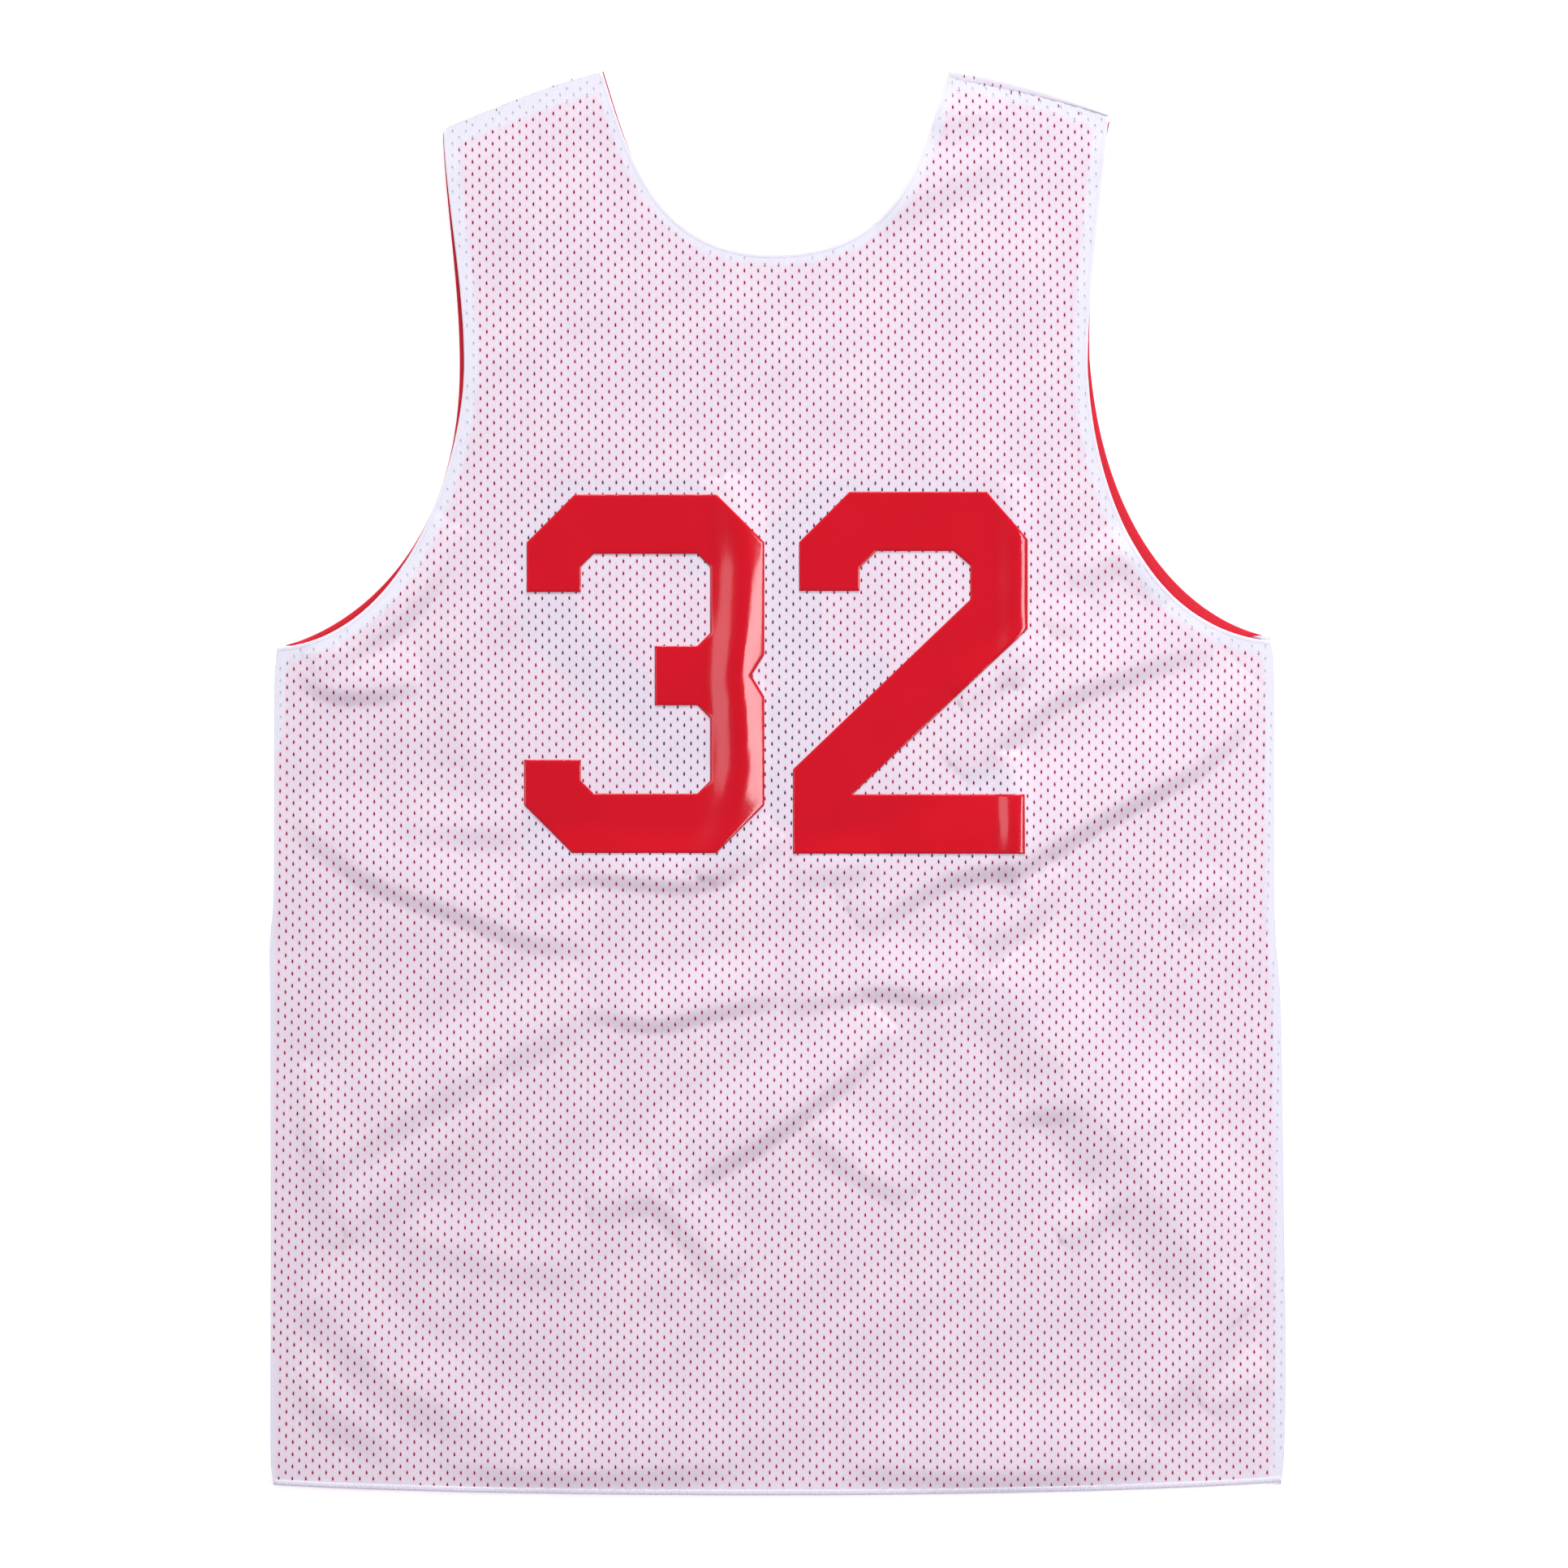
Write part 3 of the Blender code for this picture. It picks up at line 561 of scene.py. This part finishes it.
def ghost(x, y):
    """How strongly the other side's number shows through, from 0 to 1."""
    strongest = np.zeros(x.shape)
    for loop in (ghost_three, ghost_two):
        inside = depth_inside(x, y, loop)
        strongest = np.maximum(strongest, smooth(inside / (3 * MM) + 0.5))
    return strongest


# %% [markdown]
# Finishes come next, because each piece is made with one. A small class wraps a node's
# output, so that shader maths reads like Python. Each finish sets its constants on the
# Principled shader and drives only colour, roughness and bump with nodes.

# %% Shader helpers
class Wire:
    """An output of a node, with arithmetic."""

    def __init__(self, finish, socket):
        self.finish = finish
        self.socket = socket

    def maths(self, operation, first, second):
        return self.finish.node("ShaderNodeMath", {"operation": operation}, {0: first, 1: second})

    def __add__(self, other):
        return self.maths("ADD", self, other)

    def __rsub__(self, other):
        return self.maths("SUBTRACT", other, self)

    def __mul__(self, other):
        return self.maths("MULTIPLY", self, other)


class Graph:
    """A node tree that is built from Python."""

    def __init__(self, tree):
        self.tree = tree

    def node(self, kind, settings=None, sockets=None, output=0):
        """A node with its settings made first, then its sockets' values or links."""
        made = self.tree.nodes.new(kind)
        for key, value in (settings or {}).items():
            if key == "stops":
                for stop, (place, colour) in zip(made.color_ramp.elements, value):
                    stop.position = place
                    stop.color = colour
            else:
                setattr(made, key, value)
        for key, value in (sockets or {}).items():
            self.join(value, made.inputs[key])
        return Wire(self, made.outputs[output])

    def join(self, value, socket):
        """Links a wire to a socket, or sets the socket's value."""
        if isinstance(value, Wire):
            self.tree.links.new(value.socket, socket)
        else:
            socket.default_value = value


class Finish(Graph):
    """A material on one Principled shader."""

    def __init__(self, name, **constants):
        self.material = bpy.data.materials.new(name)
        self.material.use_nodes = True
        super().__init__(self.material.node_tree)
        self.shader = self.tree.nodes["Principled BSDF"]
        for key, value in constants.items():
            self.shader.inputs[key.replace("_", " ")].default_value = value

    def drive(self, name, value):
        """Links a wire to one of the shader's sockets."""
        self.join(value, self.shader.inputs[name])

    def place(self):
        """The point's place in the object, in metres."""
        return self.node("ShaderNodeTexCoord", output="Object")

    def mark(self, name):
        """A named value kept on the piece's points."""
        return self.node("ShaderNodeAttribute", {"attribute_name": name}, output="Fac")

    def mix(self, share, first, second):
        """Two colours mixed."""
        sockets = {0: share, 6: first, 7: second}
        return self.node("ShaderNodeMix", {"data_type": "RGBA"}, sockets, output=2)

    def noise(self, scale, detail=2.0):
        """Soft noise of a size set by its scale per metre."""
        sockets = {"Vector": self.place(), "Scale": scale, "Detail": detail}
        return self.node("ShaderNodeTexNoise", {}, sockets)

    def patches(self, scale):
        """Soft patches, mostly 0 or 1."""
        return self.node("ShaderNodeMapRange", {}, {0: self.noise(scale, 3.0), 1: 0.35, 2: 0.65})

    def bump(self, height, distance, strength=1.0):
        """Normal from a height in units of distance."""
        sockets = {"Height": height, "Distance": distance, "Strength": strength}
        return self.node("ShaderNodeBump", {}, sockets)


def colour(red, green, blue):
    """A colour on the 0 to 255 scale, made linear for a shader."""
    linear = []
    for value in (red, green, blue):
        share = value / 255
        linear.append(share / 12.92 if share <= 0.04045 else ((share + 0.055) / 1.055)**2.4)
    return (*linear, 1.0)


# %% [markdown]
# White mesh over red looks lavender pink, because red light comes up through the thin
# knit. Where a white seam allowance lies under it the cloth stays a cool white, and the
# number on the other side cools it as well. Marks on the points say where: band, ghost
# and rim. Ribs of the knit are 0.9 mm apart, too fine to model, so they are bump.

# %% Cloth finishes
RIB = 0.9 * MM


def knit_height(finish):
    """Height of the knit's ribs and loops."""
    ribs = finish.node(
        "ShaderNodeTexWave",
        {"bands_direction": "X"},
        {"Vector": finish.place(), "Scale": 0.314 / RIB, "Distortion": 1.5, "Detail": 1.0,
         "Detail Scale": 2.0},
    )
    return ribs * 0.6 + finish.noise(2600) * 0.8


def white_cloth(name, warm, cool, shade):
    """White knit whose tint follows what lies under it."""
    finish = Finish(name, Roughness=0.82, Specular_IOR_Level=0.22, Sheen_Weight=0.12,
                    Sheen_Roughness=0.45)
    base = finish.mix(finish.patches(28), warm, shade)
    base = finish.mix(finish.mark("ghost") * 0.75, base, cool)
    base = finish.mix(finish.mark("band"), base, colour(235, 236, 247))
    base = finish.mix(finish.mark("rim") * (1 - finish.mark("band")) * 0.7, base,
                      colour(250, 204, 224))
    finish.drive("Base Color", base)
    finish.drive("Normal", finish.bump(knit_height(finish), 0.12 * MM))
    return finish.material


def red_cloth(name, red, dark):
    """Red knit; where the other side's number lies on it, it is dark."""
    finish = Finish(name, Roughness=0.8, Specular_IOR_Level=0.25, Sheen_Weight=0.15,
                    Sheen_Roughness=0.4)
    base = finish.mix(finish.patches(40) * 0.35, red, colour(206, 30, 52))
    base = finish.mix(finish.mark("ghost"), base, dark)
    finish.drive("Base Color", base)
    finish.drive("Normal", finish.bump(knit_height(finish), 0.12 * MM))
    return finish.material


white_mesh = white_cloth("white mesh", colour(235, 232, 240), colour(222, 229, 239),
                         colour(229, 226, 238))
edge_white = white_cloth("white edge", colour(237, 237, 247), colour(235, 236, 247),
                         colour(234, 235, 246))
red_mesh = red_cloth("red mesh", colour(216, 70, 112), colour(112, 98, 128))

# %% [markdown]
# Each panel is one perforated sheet. The lower layers use the same cells shifted a
# little, as the holes of two layers never line up. All four carry their marks: the seam
# allowance is 10 to 11.5 mm wide at the shoulders, 8 mm at the armholes, 6 mm at the neck
# and 1 to 7 mm at the sides. The many small cells at a cut edge would shade unevenly, so
# the shading normals are worked out from the same height as the points, except within
# the roll into the side and shoulder seams, where they point straight up.

# %% The four panels
ALLOWANCES = {  # shares of the way along an edge, and the widths there in millimetres
    "right side": ((0.0, 0.35, 0.75, 1.0), (7.2, 5.8, 4.6, 6.0)),
    "left side": ((0.0, 0.10, 0.13, 1.0), (6.5, 5.5, 1.2, 0.9)),
    "right armhole": ((0.0, 1.0), (8.0, 8.0)),
    "left armhole": ((0.0, 1.0), (8.0, 8.0)),
    "right shoulder": ((0.0, 1.0), (10.0, 10.0)),
    "left shoulder": ((0.0, 1.0), (11.5, 11.5)),
    "neck": ((0.0, 1.0), (6.0, 6.0)),
}
SLOPE_STEP = 0.5 * MM


def allowance(x, y, edges):
    """1 over a seam allowance and 0 away from it, with a soft edge."""
    covered = np.zeros(x.shape)
    for name, (shares, widths) in ALLOWANCES.items():
        away, _, place = to_line(x, y, edges[name][::2])
        width = np.interp(place, shares, widths)
        covered = np.maximum(covered, smooth((width * MM - away) / (1.2 * MM) + 0.5))
    return covered


def cloth_panel(name, shift, edges, height, material, covered=(), inset=0.0):
    """One perforated panel of the jersey."""
    flat, faces, rim = perforated(shift, outline(edges), covered, inset)
    x, y = flat[:, 0], flat[:, 1]
    marks = {"rim": rim, "band": allowance(x, y, edges), "ghost": ghost(x, y)}
    z = height(x, y)
    panel = add_piece(name, np.column_stack([x, y, z]), faces, material, marks)
    drops_by = [z - height(x + SLOPE_STEP, y), z - height(x, y + SLOPE_STEP)]
    slopes = np.column_stack(drops_by) / SLOPE_STEP
    slopes[seam_nearness(x, y, edges) < SEAM_ROLL] = 0.0
    upright = np.column_stack([slopes, np.ones(len(x))])
    upright /= np.linalg.norm(upright, axis=1)[:, None]
    panel.data.normals_split_custom_set_from_vertices(upright.tolist())
    map_from_above(panel)
    return panel


def upper_height(x, y):
    return back_height(x, y, BACK_LEVEL + 0.6 * MM)


def upper_red_height(x, y):
    return back_height(x, y, BACK_LEVEL - 0.05 * MM, 0.97)


def lower_red_height(x, y):
    return front_height(x, y, PITCH + 0.5 * MM, 0.5)


def lower_height(x, y):
    return front_height(x, y, 0.3 * MM)


upper = cloth_panel("back_white", (0.0, 0.0), back_edges, upper_height, white_mesh, (three, two))
upper_red = cloth_panel("back_red", (1.4 * MM, 2.3 * MM), back_edges, upper_red_height, red_mesh,
                        inset=1.2)
lower_red = cloth_panel("front_red", (-0.8 * MM, 1.1 * MM), front_edges, lower_red_height,
                        red_mesh, inset=2.6)
lower = cloth_panel("front_white", (0.6 * MM, -1.9 * MM), front_edges, lower_height, white_mesh)

# %% [markdown]
# Sewn edges are strips along the outline. A strip follows one edge of the cut; its
# section is a short list of steps, how far in from the edge and how far above the cloth.
# One function makes the folded neck and armhole edges, the white seam allowances that
# hide the red, the side seams, the rolled shoulder and the overlocked hem.

# %% Strips along the edges
FLOOR_GAP = 0.05 * MM
ALLOWANCE_START = 0.3
ALLOWANCE_LIFT = -0.32
FOLD = ((2.0, 0.08), (1.2, 0.12), (0.5, 0.12), (0.12, 0.02), (0.0, -0.2), (0.1, -0.6),
        (1.3, -0.8))


def fine_line(edges, edge, times=3):
    """One edge of the cut as a line with times as many points."""
    return spaced(edges[edge], int(times * len(edges[edge])))


def piece_name(kind, edge):
    """A name such as fold_left_armhole."""
    return kind + "_" + edge.replace(" ", "_")


def joined(name, rows, material, band=1.0):
    """A piece from rows of points that lie side by side along an edge."""
    grid = np.stack(rows, axis=1)
    count, steps = grid.shape[:2]
    corners = [row * steps + step for row in range(count - 1) for step in range(steps - 1)]
    faces = [(corner, corner + steps, corner + steps + 1, corner + 1) for corner in corners]
    marks = {"band": np.full(count * steps, band)}
    return add_piece(name, grid.reshape(-1, 3), faces, material, marks)


def strip(name, line, section, height, material, band=1.0):
    """A strip of cloth along an edge, with a section of (inset, lift) in millimetres."""
    normal = inward(line)
    rows = []
    for inset, lift in section:
        flat = line + normal * np.reshape(inset, (-1, 1)) * MM
        z = height(flat[:, 0], flat[:, 1]) + lift * MM
        rows.append(np.column_stack([flat, np.maximum(z, FLOOR_GAP)]))
    return joined(name, rows, material, band)


for edge, (shares, widths) in ALLOWANCES.items():
    fine = fine_line(back_edges, edge, 2.5)
    width = np.interp(np.linspace(0.0, 1.0, len(fine)), shares, widths)
    section = [(ALLOWANCE_START + share * (width - ALLOWANCE_START), ALLOWANCE_LIFT)
               for share in np.linspace(0.0, 1.0, 5)]
    strip(piece_name("allowance", edge), fine, section, upper_height, edge_white)
for edge in ("neck", "left armhole", "right armhole"):
    fine = fine_line(back_edges, edge)
    strip(piece_name("fold", edge), fine, FOLD, upper_height, edge_white)

# %% [markdown]
# At the armholes the front is cut a little fuller, so its red edge shows beyond the white
# one as a narrow crescent that runs out at both ends. At the left of the neck a line of
# red peeks out from under the fold. Both are strips again, with sections of their own.

# %% The red edges
red_edge = Finish("red edge", Roughness=0.75, Specular_IOR_Level=0.25, Sheen_Weight=0.2)
red_edge.drive("Base Color", red_edge.mix(red_edge.noise(300, 3.0), colour(226, 34, 54),
                                          colour(210, 30, 50)))
red_edge.drive("Normal", red_edge.bump(knit_height(red_edge), 0.1 * MM))
RED_FOLD = ((14.0, 0.05), (9.0, 0.12), (5.0, 0.14), (1.2, 0.16), (0.4, 0.06), (0.02, -0.25),
            (0.05, -0.6), (0.6, -0.95))
for edge, kept in (("left armhole", slice(1, -3)), ("right armhole", slice(3, -1))):
    fine = fine_line(front_edges, edge)[kept]
    steps = np.arange(len(fine))
    narrow = np.clip(np.minimum(steps, steps[::-1]) / 14, 0.02, 1)
    section = [(inset * narrow if inset > 1 else inset, lift) for inset, lift in RED_FOLD]
    strip(piece_name("red", edge), fine, section, lower_red_height,
                      red_edge.material)
peek = spaced(back_edges["neck"], 330)[-58:]
out = -0.7 * np.sin(np.linspace(0.0, 1.0, len(peek)) * math.pi / 2)**0.6
RED_PEEK = ((1.5, -0.35), (out + 0.35, -0.38), (out, -0.55), (out + 0.1, -0.9), (1.0, -1.0))
# Painted shade: the neck's red line is a darker red than the red edges, for the fold's shade.
peek_red = Finish("red in the shade", Roughness=0.8, Base_Color=colour(178, 52, 78))
strip("red_neck", peek, RED_PEEK, upper_height, peek_red.material)

# %% [markdown]
# At the sides and shoulders the two white panels are sewn together. A half turn of cloth
# from the upper one to the lower one closes them there. The right shoulder has rolled over
# a little, so one more strip of cloth lies on it. Its holes are small flat drops of dark
# red: the red cloth behind a hole, with its shade painted in.

# %% Side and shoulder seams
ROLL_STEPS = 60
BESIDE_ROLL = np.array([0.3, 1.0]) * -6 * MM


def seam_turn(name, line, material):
    """Cloth turning from the upper panel to the lower one, round a seam."""
    normal = inward(line)
    rows = []
    for turn in np.linspace(0.0, math.pi, 7):
        flat = line + normal * (0.5 - 0.55 * math.sin(turn)) * MM
        top = upper_height(flat[:, 0], flat[:, 1]) + 0.04 * MM
        bottom = lower_height(flat[:, 0], flat[:, 1])
        z = (top + bottom) / 2 + (top - bottom) / 2 * math.cos(turn)
        rows.append(np.column_stack([flat, z]))
    return joined(name, rows, material)


for edge in ("left side", "right side", "left shoulder", "right shoulder"):
    seam_turn(piece_name("seam", edge), fine_line(back_edges, edge), edge_white)
roll_line = spaced(back_edges["right shoulder"], ROLL_STEPS)[::-1]
roll_width = np.interp(np.linspace(0.0, 1.0, len(roll_line)), (0.0, 0.1, 0.4, 0.7, 1.0),
                       (3.0, 4.5, 3.6, 2.2, 0.8))
beside = roll_line + BESIDE_ROLL
ridge = upper_height(beside[:, 0], beside[:, 1])


def shoulder_top(x, y):
    """Height of the rolled shoulder, level with the cloth beside it."""
    return np.interp(x, roll_line[:, 0], ridge)


# The reversed line has the cloth on its other side, so insets into it are negative.
ROLLED = ((-roll_width, 0.02), (-0.8 * roll_width, 0.12), (-0.4 * roll_width, 0.16),
          (-0.2, 0.1), (0.3, -0.1), (0.4, -0.6), (0.0, -1.1))
strip("shoulder_roll", roll_line, ROLLED, shoulder_top, white_mesh, band=0.0)


def drops(name, spots, scale, height, lift, material):
    """Holes as flat drops of red with painted shade, on edges too narrow for whole cells."""
    points = []
    for spot in spots:
        ring = HOLE * scale + np.array(spot)
        z = height(ring[:, 0], ring[:, 1]) + lift * MM
        points += np.column_stack([ring, z]).tolist()
    faces = [[6 * index + corner for corner in range(6)] for index in range(len(spots))]
    return add_piece(name, points, faces, material)


# Painted shade: the drops' dark red is the red cloth behind a hole, darkened for its shade.
hole_shade = Finish("hole shade", Roughness=0.9, Base_Color=colour(160, 70, 100))
ROLL_HOLES = (
    (0.1049, 0.3984), (0.1104, 0.3976), (0.1163, 0.3937), (0.1209, 0.3937), (0.1254, 0.3930),
    (0.1314, 0.3893), (0.1360, 0.3894), (0.1469, 0.3855), (0.1579, 0.3818), (0.1693, 0.3776),
)
SEAM_HOLES = ((-0.1753, 0.3730), (-0.1584, 0.3795), (-0.1470, 0.3848), (-0.1265, 0.3930),
              (-0.1160, 0.3968))
drops("shoulder_roll_holes", ROLL_HOLES, 0.8, shoulder_top, 0.22,
                  hole_shade.material)
drops("shoulder_seam_holes", SEAM_HOLES, 0.55, upper_height, 0.12,
                  hole_shade.material)

# %% [markdown]
# The hem is overlocked: a narrow band wrapped in thread. Each stitch is a short thread
# over the band, a little slanted. A loop lays them side by side and joins them in one mesh.

# %% The overlocked hem
HEM_BAND = ((3.3, 0.02), (2.6, 0.16), (1.2, 0.20), (0.4, 0.08), (0.0, -0.25), (0.15, -0.6),
            (1.0, -0.8))
STITCH_STEP = 1.15 * MM
THREAD = 0.17 * MM
THREAD_SIDES = 4
back_hem = spaced(back_edges["hem"], 240)
strip("hem_band", back_hem, HEM_BAND, upper_height, edge_white)
front_hem = spaced(front_edges["hem"], 120)
strip("front_hem_band", front_hem, HEM_BAND, lower_height, edge_white)


def threads(name, line, spacing, path, height, material):
    """Short threads laid across an edge; path gives (along, inset, lift) in millimetres."""
    length = np.linalg.norm(np.diff(line, axis=0), axis=1).sum()
    spots = spaced(line, int(length / spacing))
    normal = inward(spots)
    along = np.column_stack([normal[:, 1], -normal[:, 0]])
    points = []
    faces = []
    sides = THREAD_SIDES
    lifts = np.array([lift for _, _, lift in path]) * MM
    for index in range(1, len(spots) - 1):
        jitter = 0.12 * math.sin(index * 2.4)
        centre = np.array([
            spots[index] + along[index] * (ahead + jitter) * MM + normal[index] * inset * MM
            for ahead, inset, _ in path
        ])
        z = height(centre[:, 0], centre[:, 1]) + lifts
        start = len(points)
        for spot, level in zip(centre, z):
            for side in range(sides):
                turn = 2 * math.pi * side / sides
                flat = spot + along[index] * THREAD * math.cos(turn)
                points.append((flat[0], flat[1], level + THREAD * math.sin(turn)))
        for ring in range(len(path) - 1):
            for side in range(sides):
                a = start + ring * sides + side
                b = start + ring * sides + (side + 1) % sides
                faces.append((a, b, b + sides, a + sides))
        last = start + (len(path) - 1) * sides
        faces.append(tuple(start + side for side in reversed(range(sides))))
        faces.append(tuple(last + side for side in range(sides)))
    return add_piece(name, points, faces, material)


STITCH = ((-0.35, 3.2, 0.05), (-0.15, 2.4, 0.32), (0.1, 1.2, 0.36), (0.3, 0.3, 0.22),
          (0.35, -0.08, -0.2), (0.3, 0.1, -0.6))
thread = Finish("white thread", Roughness=0.55, Sheen_Weight=0.2)
thread.drive("Base Color", thread.mix(thread.noise(900), colour(246, 243, 250),
                                      colour(236, 232, 244)))
hem_stitches = threads("hem_stitches", back_edges["hem"], STITCH_STEP, STITCH, upper_height,
                       thread.material)

# %% [markdown]
# The numerals are vinyl film pressed on with heat: glossy, thin, with an edge that turns
# down. Rings of points inside the outline shape that edge, and then the middle is cut
# into small squares, so that the film follows the cloth's creases.

# %% The numerals
FILM = 0.7 * MM
EDGE_STEPS = ((0.0, 0.0), (0.15, 0.52), (0.5, 0.80), (1.1, 0.95), (1.8, 1.0))
FILM_GRID = 2.0 * MM


def inset_loop(loop, inset):
    """A closed outline moved in by inset, with its corners kept."""
    before = np.roll(loop, 1, axis=0)
    after = np.roll(loop, -1, axis=0)
    first = loop - before
    second = after - loop
    first /= np.linalg.norm(first, axis=1)[:, None]
    second /= np.linalg.norm(second, axis=1)[:, None]
    first_normal = np.column_stack([-first[:, 1], first[:, 0]])
    second_normal = np.column_stack([-second[:, 1], second[:, 0]])
    both = first_normal + second_normal
    return loop + 2 * inset * both / np.sum(both * both, axis=1)[:, None]


def film(name, loop, material):
    """A vinyl numeral that lies on the upper panel."""
    sheet = bmesh.new()
    rings = []
    for inset, _ in EDGE_STEPS:
        moved = inset_loop(loop, inset * MM)
        rings.append([sheet.verts.new((x, y, 0.0)) for x, y in moved])
    count = len(loop)
    for outer, inner in zip(rings, rings[1:]):
        for k in range(count):
            nxt = (k + 1) % count
            sheet.faces.new((outer[k], outer[nxt], inner[nxt], inner[k]))
    middle = sheet.faces.new(rings[-1])
    sheet.normal_update()
    bmesh.ops.triangulate(sheet, faces=[middle], ngon_method="EAR_CLIP")
    low, high = loop.min(axis=0), loop.max(axis=0)
    for axis in (0, 1):
        normal = (1.0, 0.0, 0.0) if axis == 0 else (0.0, 1.0, 0.0)
        for place in np.arange(low[axis] + FILM_GRID, high[axis], FILM_GRID):
            geometry = sheet.verts[:] + sheet.edges[:] + sheet.faces[:]
            spot = (place, 0.0, 0.0) if axis == 0 else (0.0, place, 0.0)
            bmesh.ops.bisect_plane(sheet, geom=geometry, dist=1e-6, plane_co=spot,
                                   plane_no=normal)
    flat = np.array([(corner.co.x, corner.co.y) for corner in sheet.verts])
    inside = depth_inside(flat[:, 0], flat[:, 1], loop)
    insets = [inset * MM for inset, _ in EDGE_STEPS]
    rise = np.interp(np.maximum(inside, 0.0), insets, [lift for _, lift in EDGE_STEPS])
    z = film_height(flat[:, 0], flat[:, 1]) + FILM * rise
    sheet.verts.index_update()
    faces = [tuple(corner.index for corner in face.verts) for face in sheet.faces]
    sheet.free()
    piece = add_piece(name, np.column_stack([flat, z]), faces, material)
    map_from_above(piece)
    return piece


def film_height(x, y):
    """Height of the film's underside: the upper panel, a little above it."""
    return upper_height(x, y) + 0.12 * MM


vinyl = Finish("red vinyl", Roughness=0.13, Specular_IOR_Level=0.5)
vinyl.drive("Base Color", vinyl.mix(vinyl.noise(20, 3.0), colour(214, 24, 42),
                                    colour(206, 22, 38)))
vinyl.drive("Normal", vinyl.bump(vinyl.noise(420, 2.0), 0.05 * MM, 0.5))
film_three = film("three", three, vinyl.material)
film_two = film("two", two, vinyl.material)

# %% [markdown]
# The packed model's own panels and numerals are hidden, so that only the pieces made here show.


for piece, node, slot, edges, lies_on in (
    (upper, "back_outer", "white_mesh", back_edges, ["back_inner"]),
    (upper_red, "back_inner", "red_mesh", back_edges, ["front_inner"]),
    (lower_red, "front_inner", "red_mesh", front_edges, ["front_outer"]),
    (lower, "front_outer", "white_mesh", front_edges, []),
):
    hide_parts(node)
for piece, node in ((film_three, "digit_3"), (film_two, "digit_2")):
    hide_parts(node)

# %% [markdown]
# The light is a big soft panel beyond the neck, a little to the right, so that the lower
# sides of the creases fall into shade. Two narrow panels at the sides put highlights on
# the vinyl, and the room is dim overhead, so that the film stays a deep red. The floor is
# plain and pale, and the camera looks straight down from two metres.

# %% Floor, lights and camera
floor_finish = Finish("floor", Roughness=0.9, Specular_IOR_Level=0.0,
                      Base_Color=(0.97, 0.97, 0.97, 1.0),
                      Emission_Color=(1.0, 1.0, 1.0, 1.0), Emission_Strength=0.45)
floor_mesh = bpy.data.meshes.new("floor")
FLOOR = 6.0
floor_mesh.from_pydata([(-FLOOR, -FLOOR, 0), (FLOOR, -FLOOR, 0), (FLOOR, FLOOR, 0),
                        (-FLOOR, FLOOR, 0)], [], [(0, 1, 2, 3)])
floor_mesh.materials.append(floor_finish.material)
floor = bpy.data.objects.new("floor", floor_mesh)
bpy.context.scene.collection.objects.link(floor)

world = bpy.data.worlds.new("studio")
world.use_nodes = True
bpy.context.scene.world = world
room = Graph(world.node_tree)
background = world.node_tree.nodes["Background"]
background.inputs["Color"].default_value = (0.95, 0.82, 0.98, 1.0)
direction = room.node("ShaderNodeTexCoord", output="Generated")
upward = room.node("ShaderNodeSeparateXYZ", {}, {0: direction}, "Z")
dark_ceiling = room.node("ShaderNodeMapRange", {},
                         {0: upward, 1: 0.80, 2: 0.96, 3: 0.30, 4: 0.06})
room.join(dark_ceiling, background.inputs["Strength"])
bpy.context.scene.view_settings.view_transform = "Standard"


def area_light(name, spot, size, power, tint=(1.0, 1.0, 1.0)):
    """A soft panel that faces the jersey."""
    data = bpy.data.lights.new(name, "AREA")
    data.shape = "RECTANGLE"
    data.size, data.size_y = size
    data.energy = power
    data.color = tint
    light = bpy.data.objects.new(name, data)
    light.location = spot
    direction = -light.location
    light.rotation_euler = direction.to_track_quat("-Z", "Y").to_euler()
    bpy.context.scene.collection.objects.link(light)


area_light("key", (0.4, 4.2, 1.75), (2.8, 1.2), 215, (1.0, 1.0, 0.96))
area_light("right strip", (1.15, -0.1, 1.75), (1.5, 0.38), 19.5, (0.97, 0.95, 1.0))
area_light("left strip", (-1.25, 0.1, 1.65), (1.2, 0.60), 6, (0.97, 0.95, 1.0))

PHOTO_PIXELS = 1932
METRES_PER_PIXEL = 0.457 * MM
FRAME_MIDDLE = (7.5 * METRES_PER_PIXEL, 0.0)
camera_data = bpy.data.cameras.new("camera")
camera_data.lens = 85
camera_data.sensor_width = 36
camera = bpy.data.objects.new("camera", camera_data)
distance = PHOTO_PIXELS * METRES_PER_PIXEL * camera_data.lens / camera_data.sensor_width
camera.location = (*FRAME_MIDDLE, distance + BACK_LEVEL)
bpy.context.scene.collection.objects.link(camera)
bpy.context.scene.camera = camera
